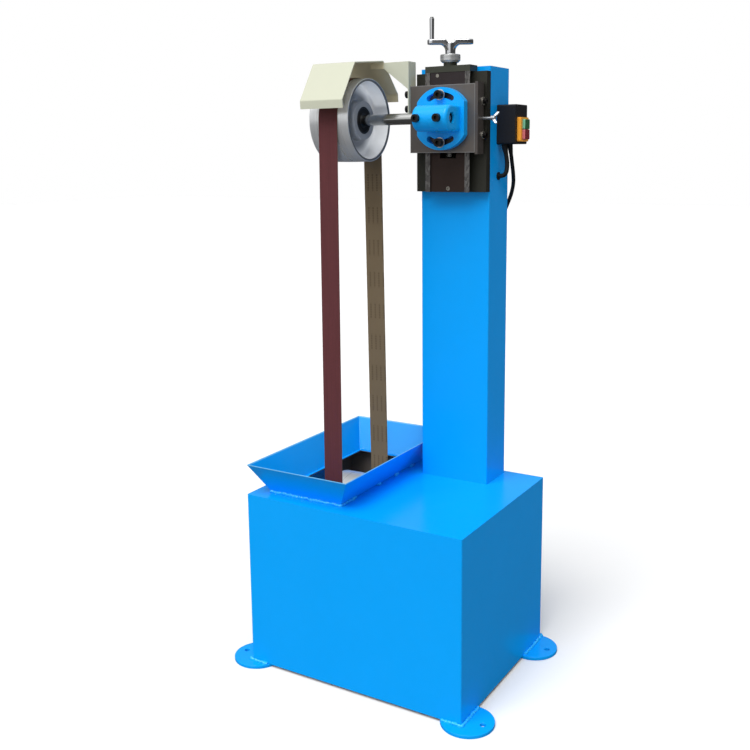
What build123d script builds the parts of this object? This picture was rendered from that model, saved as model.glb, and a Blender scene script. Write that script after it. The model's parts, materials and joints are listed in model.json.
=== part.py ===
from build123d import *
import os
from math import asin, cos, hypot, pi, radians, sin, sqrt, tan

# Vertical belt sander. Millimetres, +Z up, front towards -Y, the slide and column to the right (+X).
# The origin is the centre of the four floor anchor holes, on the floor.

os.makedirs("parts", exist_ok=True)

# Clearances
journal_gap = 0.05
running_gap = 0.3
way_gap = 0.1
bolt_gap = 0.4
shaft_end_gap = 1.0

# Cabinet and feet
cabinet_width = 568.0
cabinet_depth = 459.0
cabinet_height = 424.0
cabinet_wall = 3.0
cabinet_corner = 3.0
cabinet_setback = 14.0
foot_radius = 60.0
foot_thickness = 8.0
anchor_spacing_x = 646.0
anchor_spacing_y = 376.0
anchor_hole_radius = 6.5
anchor_hole_offset = 37.0

# Access cover on the left wall, beside the drive wheel
cover_opening_width = 250.0
cover_opening_height = 230.0
cover_opening_drop = 30.0
cover_lap = 18.0
cover_thickness = 2.0
cover_corner = 12.0

# Flared tray on the cabinet top
tray_floor_width = 197.0
tray_floor_depth = 397.0
tray_floor_x = -144.5
tray_floor_setback = 25.5
tray_height = 76.0
tray_flare_left = 34.0
tray_flare_right = 48.0
tray_flare_front = 50.0
tray_flare_rear = 52.0
tray_wall = 3.0
tray_ledge = 7.0

# Column
column_width = 178.0
column_depth = 106.0
column_height = 990.0
column_wall = 6.0
column_corner = 3.0
column_x = 95.0
column_front = 125.0
column_cap_thickness = 5.0

# Dovetail slide on the column's front
slide_height = 271.0
slide_below_top = 12.0
slide_width = 180.0
slide_plate = 20.0
dovetail_width = 114.0
dovetail_height = 20.0
dovetail_angle = 55.0
recess_width = 89.0
recess_depth = 4.0
channel_width = 42.0
channel_depth = 33.0
channel_end_gap = 2.0
slide_screw_spread = 64.0
slide_screw_drop = 72.0
slide_screw_margin = 8.0
shield_height = 40.0
shield_thickness = 3.0
shield_gap = 0.5
shield_screw_radius = 2.0
shield_screw_inset_x = 18.0
shield_screw_inset_z = 7.0
shield_screw_length = 14.0

# Carriage on the slide
carriage_left = 87.0
carriage_right = 78.0
carriage_height = 152.0
carriage_plate = 17.5
carriage_below_block = 29.0
carriage_rear_gap = 0.5
strip_thickness = 7.0
strip_overhang = 4.0
strip_depth = 32.0
gib_thickness = 6.0
gib_end_gap = 2.0
gib_side_gap = 0.4
side_screw_spacing = 76.0

# Feed screw, bearing block, dial and crank
bearing_block_height = 14.0
bearing_block_depth = 38.0
bearing_boss_radius = 15.5
bearing_boss_height = 7.0
feed_screw_radius = 9.0
feed_screw_setback = 25.0
feed_screw_below_carriage = 11.0
feed_journal_radius = 7.0
feed_spindle_radius = 6.0
thrust_collar_radius = 10.5
thrust_collar_height = 7.0
feed_nut_width = 34.0
feed_nut_height = 34.0
feed_nut_wall = 6.0
feed_nut_rise = 19.0
dial_radius = 23.0
dial_height = 18.0
dial_chamfer = 4.5
crank_neck_radius = 11.7
crank_neck_height = 8.0
crank_height = 34.0
crank_reach = 42.0
crank_turn = 31.0
crank_arm_thickness = 11.5
crank_arm_width = 21.0
crank_flare_reach = 17.0
crank_edge = 2.5
crank_core_drop = 4.0
crank_valley_radius = 11.0
crank_valley_depth = 8.0
grip_bottom_radius = 4.8
grip_top_radius = 5.3
grip_length = 46.5
grip_spindle_radius = 2.5
grip_head_radius = 3.9
grip_head_height = 2.0

# Swivel flange with the shaft boss
flange_radius = 70.0
flange_flat = 59.5
flange_thickness = 18.0
slot_radius = 53.0
slot_width = 13.0
slot_half_angle = 32.0
boss_radius = 29.0
boss_reach_left = 37.0
boss_reach_right = 50.5
boss_edge = 7.0
shaft_offset = 42.0
shaft_recess = 5.0
set_screw_spread = 52.0
set_screw_shift = 2.5
set_screw_radius = 5.5
set_screw_seat = 3.0
swivel_bolt_radius = 6.0
swivel_washer_radius = 12.0
swivel_washer_thickness = 2.5

# Idler wheel, its shaft and bearings
belt_plane_x = -118.0
idler_radius = 95.0
idler_width = 104.0
wheel_crown = 0.8
idler_rim = 7.0
idler_rim_draft = 2.0
idler_web = 26.0
idler_hub_radius = 46.0
idler_hub_length = 74.0
idler_fillet = 5.0
shaft_radius = 12.5
bearing_outer_radius = 31.0
bearing_width = 17.0
bearing_ring = 4.6
bearing_inset = 1.0
seal_thickness = 1.5
seal_inset = 0.6
hub_shoulder = 4.0
retainer_radius = 17.0
retainer_thickness = 4.0

# Drive wheel and motor
drive_radius = 107.5
drive_width = 100.0
drive_rise = 8.0
drive_axis_y = 16.0
drive_rim = 9.0
drive_web = 14.0
drive_web_x = 12.0
drive_hub_radius = 34.0
drive_hub_left = 10.0
drive_hub_right = 46.0
drive_edge = 5.0
motor_gap = 22.0
motor_shaft_radius = 12.0
motor_axis_height = 90.0
motor_frame_radius = 75.0
motor_frame_wall = 9.0
motor_fin_height = 10.0
motor_fin_thickness = 4.0
motor_fin_count = 18
motor_frame_length = 165.0
motor_shield_length = 28.0
motor_shield_wall = 10.0
motor_bearing_radius = 26.0
motor_bearing_width = 15.0
motor_bearing_step = 0.5
motor_shield_gap = 1.0
rotor_shoulder = 4.0
rotor_shoulder_slope = 2.0
stator_length = 110.0
stator_depth = 17.0
air_gap = 0.6
fan_radius = 66.0
fan_width = 22.0
fan_disc = 3.0
fan_blade = 3.0
fan_blade_count = 6
fan_hub_wall = 12.0
fan_gap = 4.0
fan_cover_wall = 2.0
fan_cover_length = 66.0
grille_slot_count = 7
grille_pitch = 16.5
grille_slot = 8.0
foot_hole_spread_x = 125.0
foot_hole_spread_y = 140.0
motor_foot_width = 44.0
motor_foot_thickness = 12.0
motor_foot_length = 36.0
motor_foot_web = 20.0
motor_bolt_radius = 5.0
terminal_length = 92.0
terminal_depth = 58.0
terminal_height = 76.0
terminal_corner = 6.0
rail_width = 52.0
rail_height = 40.0
rail_wall = 4.0
key_width = 8.0
key_height = 7.0
key_length = 40.0
key_sink = 3.9

# Belt
belt_width = 50.0
belt_thickness = 1.2

# Belt guard and its bracket
guard_tilt = 5.0
guard_ridge_half = 62.6
guard_ridge_height = 131.6
guard_slope_run = 61.6
guard_slope_drop = 78.4
guard_lip = 18.5
guard_sheet = 2.5
guard_bend = 3.0
guard_width = 113.0
guard_overhang = 8.0
bracket_plane = 7.5
bracket_depth = 35.0
bracket_top = 132.0
bracket_corner_drop = 62.0
bracket_tab_height = 14.0
bracket_tab_length = 36.0
bracket_bolt_upper = 58.0
bracket_bolt_lower = 25.0
bracket_foot_margin = 12.0
bracket_bolt_setback = 8.5
bracket_washer_radius = 9.0
bracket_washer_thickness = 2.5

# Switch box on the column's right face
switch_width = 46.0
switch_depth = 70.0
switch_height = 90.0
switch_wall = 3.0
switch_corner = 4.0
switch_below_top = 85.0
switch_overhang = 1.0
frame_width = 46.0
frame_margin = 4.6
frame_thickness = 9.0
frame_lift = 6.0
frame_corner = 3.0
button_width = 26.0
button_height = 22.5
button_space = 0.8
button_proud = 7.5
button_gap = 0.5
button_corner = 2.5
button_flange = 2.0

# Leads: the points run from the boot's end to the last one before the column, and then comes the entry. They are
# measured from the column's right face, its rear face and the switch box's underside
lead_boot_length = 22.0
lead_boot_taper = 0.7
lead_arc_share = 0.45
lead_hole_gap = 1.0
grommet_thickness = 2.5
grommet_margin = 4.0
motor_lead_radius = 5.2
motor_lead_points = [(17.0, -52.5, -22.0), (19.5, -51.0, -37.5), (20.5, -53.0, -53.5),
                     (19.5, -56.2, -66.0), (12.5, -58.5, -73.0)]
motor_entry_setback = 58.5
motor_entry_drop = 73.0
supply_lead_radius = 4.6
supply_lead_points = [(22.0, -35.0, -22.0), (21.5, -26.5, -44.0), (18.5, -11.5, -69.0),
                      (13.0, 4.0, -91.0), (3.5, 15.0, -116.0), (-9.0, 20.5, -142.0),
                      (-20.5, 22.5, -166.0), (-27.5, 22.0, -181.0), (-32.0, 18.0, -191.5),
                      (-34.0, 10.5, -197.0)]
supply_entry_inset = 34.0
supply_entry_drop = 197.0

# Proportions of a socket cap screw, as multiples of its shank's radius, and the wing screw
cap_screw_head_ratio = 1.62
cap_screw_socket_ratio = 1.5
wing_shank_radius = 3.2
wing_reach = 19.0
wing_span = 29.0
wing_root = 7.0
wing_tip = 12.0
wing_thickness = 4.0
wing_turn = 27.0
wing_hub_radius = 5.5
wing_hub_length = 9.0
wing_shank_out = 30.0


def block(x0, x1, y0, y1, z0, z1):
    size = Box(x1 - x0, y1 - y0, z1 - z0)
    return Pos((x0 + x1) / 2, (y0 + y1) / 2, (z0 + z1) / 2) * size


def rod_x(radius, x0, x1, y, z):
    return Pos((x0 + x1) / 2, y, z) * Rot(0, 90, 0) * Cylinder(radius, x1 - x0)


def rod_y(radius, y0, y1, x, z):
    return Pos(x, (y0 + y1) / 2, z) * Rot(90, 0, 0) * Cylinder(radius, y1 - y0)


def rod_z(radius, z0, z1, x, y):
    return Pos(x, y, (z0 + z1) / 2) * Cylinder(radius, z1 - z0)


def turned_x(points, y, z):
    """A body of revolution about a line along X; the points are (x, radius)."""
    return Pos(0, y, z) * revolve(make_face(Polyline(*points, close=True)), Axis.X)


def turned_z(points, x, y):
    """A body of revolution about an upright line; the points are (radius, z)."""
    profile = Plane.XZ * make_face(Polyline(*points, close=True))
    return Pos(x, y, 0) * revolve(profile, Axis.Z)


def cap_screw(shank_radius, shank_length):
    """Socket cap screw: the head stands on the XY plane, the shank goes down."""
    head_radius = shank_radius * cap_screw_head_ratio
    head_height = shank_radius * 2
    socket_depth = head_height / 2
    socket = RegularPolygon(shank_radius * cap_screw_socket_ratio / 2 / cos(pi / 6), 6)
    head = Pos(0, 0, head_height / 2) * Cylinder(head_radius, head_height)
    shank = Pos(0, 0, -shank_length / 2) * Cylinder(shank_radius, shank_length)
    return head + shank - Pos(0, 0, head_height - socket_depth) * extrude(socket, socket_depth)


def flat_screw(shank_radius, length):
    """Countersunk screw: the head's face lies on the XY plane, the shank goes down."""
    return revolve(Plane.XZ * make_face(Polyline((0, 0), (2 * shank_radius, 0),
                                                 (shank_radius, -shank_radius),
                                                 (shank_radius, -length),
                                                 (0, -length), close=True)), Axis.Z)


def washer(inner_radius, outer_radius, thickness):
    """Flat washer standing on the XY plane."""
    ring = Circle(outer_radius) - Circle(inner_radius)
    return extrude(ring, thickness)


def facing_front(x, y, z):
    return Pos(x, y, z) * Rot(90, 0, 0)


def facing_right(x, y, z):
    return Pos(x, y, z) * Rot(0, 90, 0)


def facing_left(x, y, z):
    return Pos(x, y, z) * Rot(0, -90, 0)


def group(pieces):
    return Compound([solid for piece in pieces for solid in piece.solids()])


pieces = {}

# Cabinet
cabinet_bottom = foot_thickness
cabinet_top = cabinet_bottom + cabinet_height
cabinet_left = -cabinet_width / 2
cabinet_right = cabinet_width / 2
cabinet_front = cabinet_setback - cabinet_depth / 2
cabinet_rear = cabinet_setback + cabinet_depth / 2
tray_left = tray_floor_x - tray_floor_width / 2
tray_right = tray_floor_x + tray_floor_width / 2
tray_front = tray_floor_setback - tray_floor_depth / 2
tray_rear = tray_floor_setback + tray_floor_depth / 2
drive_axis_z = cabinet_top + drive_rise - drive_radius
cover_top = cabinet_top - cover_opening_drop
cover_bottom = cover_top - cover_opening_height
cover_front = drive_axis_y - cover_opening_width / 2
cover_rear = drive_axis_y + cover_opening_width / 2
cover_screw_radius = 2.5
cover_screw_inset = cover_lap / 2


def cover_screw_places():
    rows = [cover_bottom - cover_screw_inset, (cover_bottom + cover_top) / 2,
            cover_top + cover_screw_inset]
    columns = [cover_front - cover_screw_inset, cover_rear + cover_screw_inset]
    return [(y, z) for y in columns for z in rows]


def make_cabinet():
    outer = block(cabinet_left, cabinet_right, cabinet_front, cabinet_rear, cabinet_bottom, cabinet_top)
    outer = fillet(outer.edges().filter_by(Axis.Z), cabinet_corner)
    inner = block(cabinet_left + cabinet_wall, cabinet_right - cabinet_wall,
                  cabinet_front + cabinet_wall,
                  cabinet_rear - cabinet_wall, cabinet_bottom, cabinet_top - cabinet_wall)
    shell = outer - inner
    inset = tray_wall + tray_ledge
    shell -= block(tray_left + inset, tray_right - inset, tray_front + inset, tray_rear - inset,
                   cabinet_top - 2 * cabinet_wall, cabinet_top + cabinet_wall)
    shell -= block(cabinet_left - cabinet_wall, cabinet_left + 2 * cabinet_wall, cover_front,
                   cover_rear,
                   cover_bottom, cover_top)
    for y, z in cover_screw_places():
        shell -= rod_x(cover_screw_radius, cabinet_left - cabinet_wall, cabinet_left + 2 * cabinet_wall,
                       y, z)
    return shell


def make_feet():
    feet = []
    hole_x = anchor_spacing_x / 2
    foot_x = hole_x - anchor_hole_offset
    for side_x in (-1, 1):
        for y in (-anchor_spacing_y / 2, anchor_spacing_y / 2):
            disc = rod_z(foot_radius, 0, foot_thickness, side_x * foot_x, y)
            feet.append(disc - rod_z(anchor_hole_radius, -1, foot_thickness + 1, side_x * hole_x, y))
    return group(feet)


def make_side_cover():
    plate = block(cabinet_left - cover_thickness, cabinet_left, cover_front - cover_lap,
                  cover_rear + cover_lap,
                  cover_bottom - cover_lap, cover_top + cover_lap)
    plate = fillet(plate.edges().filter_by(Axis.X), cover_corner)
    for y, z in cover_screw_places():
        plate -= rod_x(cover_screw_radius + bolt_gap, cabinet_left - 2 * cover_thickness, cabinet_left,
                       y, z)
    return plate


def make_cover_screws():
    screw = cap_screw(cover_screw_radius, cover_thickness + cabinet_wall)
    face = cabinet_left - cover_thickness
    return group([facing_left(face, y, z) * screw for y, z in cover_screw_places()])


def tray_prism(inset):
    floor = Pos(tray_floor_x, tray_floor_setback, cabinet_top)
    floor *= Rectangle(tray_floor_width - 2 * inset, tray_floor_depth - 2 * inset)
    rim_width = tray_floor_width + tray_flare_left + tray_flare_right - 2 * inset
    rim_depth = tray_floor_depth + tray_flare_front + tray_flare_rear - 2 * inset
    rim_x = tray_floor_x + (tray_flare_right - tray_flare_left) / 2
    rim_y = tray_floor_setback + (tray_flare_rear - tray_flare_front) / 2
    rim = Pos(rim_x, rim_y, cabinet_top + tray_height) * Rectangle(rim_width, rim_depth)
    return loft([floor, rim], ruled=True)


pieces["cabinet_shell"] = make_cabinet()
pieces["foot_plates"] = make_feet()
pieces["side_cover"] = make_side_cover()
pieces["side_cover_screws"] = make_cover_screws()
pieces["belt_tray"] = tray_prism(0) - tray_prism(tray_wall)

# Column
column_left = column_x - column_width / 2
column_right = column_x + column_width / 2
column_rear = column_front + column_depth
column_top = cabinet_top + column_height
slide_top = column_top - slide_below_top
switch_bottom = column_top - switch_below_top - switch_height
motor_entry_y = column_rear - motor_entry_setback
motor_entry_z = switch_bottom - motor_entry_drop
supply_entry_x = column_right - supply_entry_inset
supply_entry_z = switch_bottom - supply_entry_drop
slide_bottom = slide_top - slide_height
carriage_top = slide_top - carriage_below_block
carriage_bottom = carriage_top - carriage_height
feed_screw_end = carriage_bottom - feed_screw_below_carriage
ledge_y = column_front - slide_plate
way_y = ledge_y - dovetail_height
root_half = dovetail_width / 2 - dovetail_height / tan(radians(dovetail_angle))
slide_screw_radius = 3.0
recess_y = way_y + recess_depth


def slide_screw_places():
    upper_z = slide_top - slide_screw_drop
    places = [(column_x + side * slide_screw_spread / 2, upper_z) for side in (-1, 1)]
    return places + [(column_x, slide_bottom + slide_screw_margin)]


def make_column():
    outer = block(column_left, column_right, column_front, column_rear, cabinet_top, column_top)
    outer = fillet(outer.edges().filter_by(Axis.Z), column_corner)
    tube = outer - block(column_left + column_wall, column_right - column_wall,
                         column_front + column_wall,
                         column_rear - column_wall, cabinet_top, column_top)
    for x, z in slide_screw_places():
        tube -= rod_y(slide_screw_radius, column_front - 1, column_front + 2 * column_wall, x, z)
    tube -= rod_x(motor_lead_radius + lead_hole_gap, column_right - 2 * column_wall, column_right + 1,
                  motor_entry_y, motor_entry_z)
    return tube - rod_y(supply_lead_radius + lead_hole_gap, column_rear - 2 * column_wall,
                        column_rear + 1,
                        supply_entry_x, supply_entry_z)


pieces["column"] = make_column()
pieces["column_cap"] = block(column_left + column_wall, column_right - column_wall,
                             column_front + column_wall,
                             column_rear - column_wall, column_top - column_cap_thickness, column_top)


# Slide base: a plate with a dovetail on its front, a shallow recess and a screw channel
def dovetail_half(y):
    """Half width of the dovetail at depth y."""
    return dovetail_width / 2 - (y - way_y) / tan(radians(dovetail_angle))


def make_slide_base():
    half = slide_width / 2
    outline = [(-half, column_front), (half, column_front), (half, ledge_y), (root_half, ledge_y),
               (dovetail_width / 2, way_y), (-dovetail_width / 2, way_y), (-root_half, ledge_y),
               (-half, ledge_y)]
    profile = make_face(Polyline(*outline, close=True))
    base = Pos(column_x, 0, slide_bottom) * extrude(profile, slide_height)
    recess = block(column_x - recess_width / 2, column_x + recess_width / 2, way_y - 1, recess_y,
                   slide_bottom - 1, slide_top + 1)
    channel = block(column_x - channel_width / 2, column_x + channel_width / 2, way_y - 1,
                    way_y + channel_depth,
                    feed_screw_end - channel_end_gap, slide_top + 1)
    base = base - recess - channel
    for x, z in slide_screw_places():
        base -= rod_y(slide_screw_radius + bolt_gap, way_y, column_front + 1, x, z)
        head_radius = slide_screw_radius * cap_screw_head_ratio
        base -= rod_y(head_radius + bolt_gap, way_y, recess_y + 2 * slide_screw_radius, x, z)
    for x in bearing_screw_places():
        base -= rod_z(bearing_screw_radius, slide_top - bearing_screw_length, slide_top + 1, x,
                      bearing_screw_y)
    for x, z in shield_screw_places():
        base -= rod_y(shield_screw_radius, way_y, recess_y + shield_screw_length, x, z)
    return base


shield_left = column_x - recess_width / 2 + shield_gap
shield_right = column_x + recess_width / 2 - shield_gap
shield_bottom = slide_top - shield_height
shield_face = recess_y - shield_thickness


def shield_screw_places():
    return [(shield_left + shield_screw_inset_x, slide_top - shield_screw_inset_z),
            (shield_right - shield_screw_inset_x, shield_bottom + shield_screw_inset_z)]


def make_channel_shield():
    """A thin plate over the top of the screw channel, held by two small screws."""
    plate = block(shield_left, shield_right, shield_face, recess_y, shield_bottom, slide_top)
    for x, z in shield_screw_places():
        plate -= facing_front(x, shield_face, z) * flat_screw(shield_screw_radius, 2 * shield_thickness)
    return plate


def make_slide_screws():
    seat = recess_y + 2 * slide_screw_radius
    base_screw = cap_screw(slide_screw_radius, column_front + column_wall - seat)
    shield_screw = flat_screw(shield_screw_radius, shield_thickness + shield_screw_length - 1)
    screws = [facing_front(x, seat, z) * base_screw for x, z in slide_screw_places()]
    return group(screws + [facing_front(x, shield_face, z) * shield_screw
                           for x, z in shield_screw_places()])


bearing_screw_radius = 3.0
bearing_screw_length = 22.0
bearing_screw_y = way_y + dovetail_height


def bearing_screw_places():
    half = (channel_width / 2 + root_half) / 2
    return [column_x - half, column_x + half]


feed_screw_y = column_front - feed_screw_setback
block_top = slide_top + bearing_block_height
boss_top = block_top + bearing_boss_height
bearing_screw_seat = block_top - 2 * bearing_screw_radius


def make_bearing_block():
    half = dovetail_width / 2
    body = block(column_x - half, column_x + half, way_y, way_y + bearing_block_depth, slide_top,
                 block_top)
    body += rod_z(bearing_boss_radius, block_top, boss_top, column_x, feed_screw_y)
    body -= rod_z(feed_journal_radius + journal_gap, slide_top - 1, boss_top + 1, column_x,
                  feed_screw_y)
    head_room = bearing_screw_radius * cap_screw_head_ratio + bolt_gap
    for x in bearing_screw_places():
        body -= rod_z(bearing_screw_radius + bolt_gap, slide_top - 1, block_top + 1, x, bearing_screw_y)
        body -= rod_z(head_room, bearing_screw_seat, block_top + 1, x, bearing_screw_y)
    return body


bearing_screw = cap_screw(bearing_screw_radius, bearing_screw_seat - slide_top + bearing_screw_length)
pieces["slide_base"] = make_slide_base()
pieces["channel_shield"] = make_channel_shield()
pieces["slide_base_screws"] = make_slide_screws()
pieces["screw_bearing_block"] = make_bearing_block()
pieces["bearing_block_screws"] = group([Pos(x, bearing_screw_y, bearing_screw_seat) * bearing_screw
                                        for x in bearing_screw_places()])

# Carriage with its female dovetail, gib, side strip and screws
carriage_mid = (carriage_top + carriage_bottom) / 2
carriage_front = way_y - carriage_plate
carriage_rear = ledge_y - carriage_rear_gap
carriage_left_x = column_x - carriage_left
carriage_right_x = column_x + carriage_right
strip_face = carriage_right_x + strip_thickness
flank_gap = way_gap / sin(radians(dovetail_angle))
gib_across = gib_thickness / sin(radians(dovetail_angle))
gib_screw_y = (way_y + ledge_y) / 2
gib_screw_radius = 4.0
gib_face_x = column_x + dovetail_half(gib_screw_y - gib_screw_radius) + flank_gap + gib_across
gib_screw_places = [carriage_mid - side_screw_spacing / 2, carriage_mid + side_screw_spacing / 2]
side_washer_radius = 9.0
side_washer_thickness = 2.0
wheel_axis_y = carriage_front - flange_thickness - shaft_offset
wheel_axis_z = carriage_mid
flange_face = carriage_front - flange_thickness
feed_nut_mid = carriage_mid + feed_nut_rise
feed_nut_rear = feed_screw_y + feed_screw_radius + feed_nut_wall
nut_screw_radius = 4.0
nut_floor_y = way_y - way_gap
bracket_y = carriage_front - bracket_plane
bracket_bolt_radius = 5.0
bracket_bolt_y = carriage_front + bracket_bolt_setback
bracket_bolt_places = [carriage_mid + bracket_bolt_lower, carriage_mid + bracket_bolt_upper]
bracket_bolt_depth = 18.0
swivel_bolt_places = [carriage_mid - slot_radius, carriage_mid + slot_radius]
swivel_bolt_grip = 14.0


def make_carriage():
    body = block(carriage_left_x, carriage_right_x, carriage_front, carriage_rear, carriage_bottom,
                 carriage_top)
    past_rear = ledge_y + dovetail_height
    left_front = -dovetail_half(nut_floor_y) - flank_gap
    left_rear = -dovetail_half(past_rear) - flank_gap
    right_front = dovetail_half(nut_floor_y) + flank_gap + gib_across
    right_rear = dovetail_half(past_rear) + flank_gap + gib_across
    female = make_face(Polyline((left_front, nut_floor_y), (right_front, nut_floor_y),
                                (right_rear, past_rear),
                                (left_rear, past_rear), close=True))
    body -= Pos(column_x, 0, carriage_bottom - 1) * extrude(female, carriage_height + 2)
    for z in gib_screw_places:
        body -= rod_x(gib_screw_radius, column_x + root_half, carriage_right_x + 1, gib_screw_y, z)
    body -= rod_x(wing_shank_radius + journal_gap, column_x + root_half, carriage_right_x + 1,
                  gib_screw_y,
                  carriage_mid)
    for z in bracket_bolt_places:
        body -= rod_x(bracket_bolt_radius, carriage_left_x - 1, carriage_left_x + bracket_bolt_depth,
                      bracket_bolt_y, z)
    for z in swivel_bolt_places:
        body -= rod_y(swivel_bolt_radius, carriage_front - 1, carriage_front + swivel_bolt_grip,
                      column_x, z)
    body -= rod_y(nut_screw_radius + bolt_gap, carriage_front - 1, way_y, column_x, feed_nut_mid)
    head_room = nut_screw_radius * cap_screw_head_ratio + bolt_gap
    body -= rod_y(head_room, carriage_front - 1, carriage_front + 2 * nut_screw_radius + bolt_gap,
                  column_x, feed_nut_mid)
    return body


def make_gib():
    near = way_y + gib_side_gap
    far = carriage_rear - gib_side_gap
    points = [(dovetail_half(near) + flank_gap, near),
              (dovetail_half(near) + flank_gap + gib_across, near),
              (dovetail_half(far) + flank_gap + gib_across, far), (dovetail_half(far) + flank_gap, far)]
    profile = make_face(Polyline(*points, close=True))
    return Pos(column_x, 0, carriage_bottom + gib_end_gap) * extrude(profile,
                                                                     carriage_height - 2 * gib_end_gap)


def make_side_strip():
    strip = block(carriage_right_x, strip_face, carriage_front, carriage_front + strip_depth,
                  carriage_bottom - strip_overhang, carriage_top + strip_overhang)
    for z in gib_screw_places:
        strip -= rod_x(gib_screw_radius + bolt_gap, carriage_right_x - 1, strip_face + 1, gib_screw_y,
                       z)
    strip -= rod_x(wing_shank_radius + bolt_gap, carriage_right_x - 1, strip_face + 1, gib_screw_y,
                   carriage_mid)
    return strip


def make_feed_nut():
    half = feed_nut_width / 2
    nut = block(column_x - half, column_x + half, nut_floor_y, feed_nut_rear,
                feed_nut_mid - feed_nut_height / 2, feed_nut_mid + feed_nut_height / 2)
    nut -= rod_z(feed_screw_radius + journal_gap, feed_nut_mid - feed_nut_height,
                 feed_nut_mid + feed_nut_height,
                 column_x, feed_screw_y)
    return nut - rod_y(nut_screw_radius, nut_floor_y - 1, feed_screw_y - feed_screw_radius, column_x,
                       feed_nut_mid)


def make_gib_screws():
    """Each screw has a washer under its head."""
    head_face = strip_face + side_washer_thickness
    screw = cap_screw(gib_screw_radius, head_face - gib_face_x - journal_gap)
    ring = washer(gib_screw_radius, side_washer_radius, side_washer_thickness)
    screws = [facing_right(head_face, gib_screw_y, z) * screw for z in gib_screw_places]
    return group(screws + [facing_right(strip_face, gib_screw_y, z) * ring for z in gib_screw_places])


nut_screw_seat = carriage_front + 2 * nut_screw_radius + bolt_gap
nut_screw_length = feed_screw_y - feed_screw_radius - nut_screw_seat - shaft_end_gap
pieces["carriage"] = make_carriage()
pieces["gib_strip"] = make_gib()
pieces["side_strip"] = make_side_strip()
pieces["gib_screws"] = make_gib_screws()
pieces["feed_nut"] = make_feed_nut()
pieces["feed_nut_screw"] = facing_front(column_x, nut_screw_seat, feed_nut_mid) * cap_screw(
    nut_screw_radius, nut_screw_length)


# Wing screw that locks the slide, turning in the carriage's side
def make_wing_screw():
    outer_end = strip_face + wing_shank_out
    screw = rod_x(wing_shank_radius, gib_face_x + running_gap, outer_end, gib_screw_y, carriage_mid)
    screw += rod_x(wing_hub_radius, outer_end - wing_hub_length, outer_end, gib_screw_y, carriage_mid)
    for side in (-1, 1):
        blade = make_face(Polyline((0, 0), (wing_root, 0), (wing_reach, wing_span / 2),
                                   (wing_tip, wing_span / 2), close=True))
        blade = extrude(blade, wing_thickness / 2, both=True)
        blade = fillet(blade.edges().filter_by(Axis.Z).group_by(Axis.Y)[-1], wing_thickness / 2)
        turn = Rot(side * 90 - wing_turn, 0, 0)
        screw += Pos(outer_end - wing_hub_length, gib_screw_y, carriage_mid) * turn * blade
    return screw


pieces["wing_screw"] = make_wing_screw()

# Feed screw with thrust collar, dial collar, crank and grip
dial_bottom = boss_top + running_gap
dial_top = dial_bottom + dial_height
crank_top = dial_top + crank_height
collar_top = slide_top - running_gap
grip_x = column_x - crank_reach * cos(radians(crank_turn))
grip_y = feed_screw_y - crank_reach * sin(radians(crank_turn))
arm_bottom = crank_top - crank_arm_thickness
spindle_top = crank_top - crank_valley_depth - 1
grip_bottom = crank_top + running_gap
grip_top = grip_bottom + grip_length


def make_feed_screw():
    collar_bottom = collar_top - thrust_collar_height
    points = [(0, feed_screw_end), (feed_screw_radius - 1, feed_screw_end),
              (feed_screw_radius, feed_screw_end + 1), (feed_screw_radius, collar_bottom),
              (thrust_collar_radius, collar_bottom), (thrust_collar_radius, collar_top),
              (feed_journal_radius, collar_top), (feed_journal_radius, dial_bottom),
              (feed_spindle_radius, dial_bottom), (feed_spindle_radius, spindle_top), (0, spindle_top)]
    return turned_z(points, column_x, feed_screw_y)


def make_dial():
    points = [(feed_spindle_radius, dial_bottom), (dial_radius - dial_chamfer, dial_bottom),
              (dial_radius, dial_bottom + dial_chamfer), (dial_radius, dial_top - 1),
              (dial_radius - 1, dial_top), (feed_spindle_radius, dial_top)]
    return turned_z(points, column_x, feed_screw_y)


def make_crank():
    """Two arms that sweep up out of a trumpet-shaped neck, with a round valley between them."""
    neck_top = dial_top + crank_neck_height
    neck = Line((0, dial_top), (crank_neck_radius, dial_top))
    wall = Line((crank_neck_radius, dial_top), (crank_neck_radius, neck_top))
    flare_end = (crank_neck_radius + crank_flare_reach, arm_bottom)
    flare = TangentArc((crank_neck_radius, neck_top), flare_end, tangent=(0, 1))
    top = Polyline(flare_end, (flare_end[0], crank_top), (0, crank_top), (0, dial_top))
    trumpet = revolve(Plane.XZ * make_face([neck, wall, flare, top]), Axis.Z)
    plan = SlotCenterToCenter(2 * crank_reach, crank_arm_width)
    slab = Pos(0, 0, dial_top) * extrude(plan, crank_height)
    arms = Pos(0, 0, arm_bottom) * extrude(plan, crank_arm_thickness)
    arms = fillet(arms.edges().group_by(Axis.Z)[-1], min(crank_edge, crank_arm_thickness / 3))
    core_height = crank_height - crank_core_drop
    neck_core = Pos(0, 0, dial_top + core_height / 2) * Cylinder(crank_neck_radius, core_height)
    under_arms = Pos(0, 0, arm_bottom - crank_height) * extrude(plan, crank_height)
    crank = (trumpet & slab & under_arms) + arms + neck_core
    valley_z = crank_top - crank_valley_depth + crank_valley_radius
    crank -= rod_y(crank_valley_radius, -crank_arm_width, crank_arm_width, 0, valley_z)
    crank -= Pos(0, 0, dial_top + crank_height / 2) * Cylinder(feed_spindle_radius, crank_height + 2)
    crank -= Pos(-crank_reach, 0, crank_top) * Cylinder(grip_spindle_radius, 4 * crank_arm_thickness)
    return Pos(column_x, feed_screw_y, 0) * Rot(0, 0, crank_turn) * crank


def make_grip_spindle():
    head_bottom = grip_top + running_gap
    points = [(0, arm_bottom), (grip_spindle_radius, arm_bottom), (grip_spindle_radius, head_bottom),
              (grip_head_radius, head_bottom), (grip_head_radius, head_bottom + grip_head_height),
              (0, head_bottom + grip_head_height)]
    return turned_z(points, grip_x, grip_y)


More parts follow.
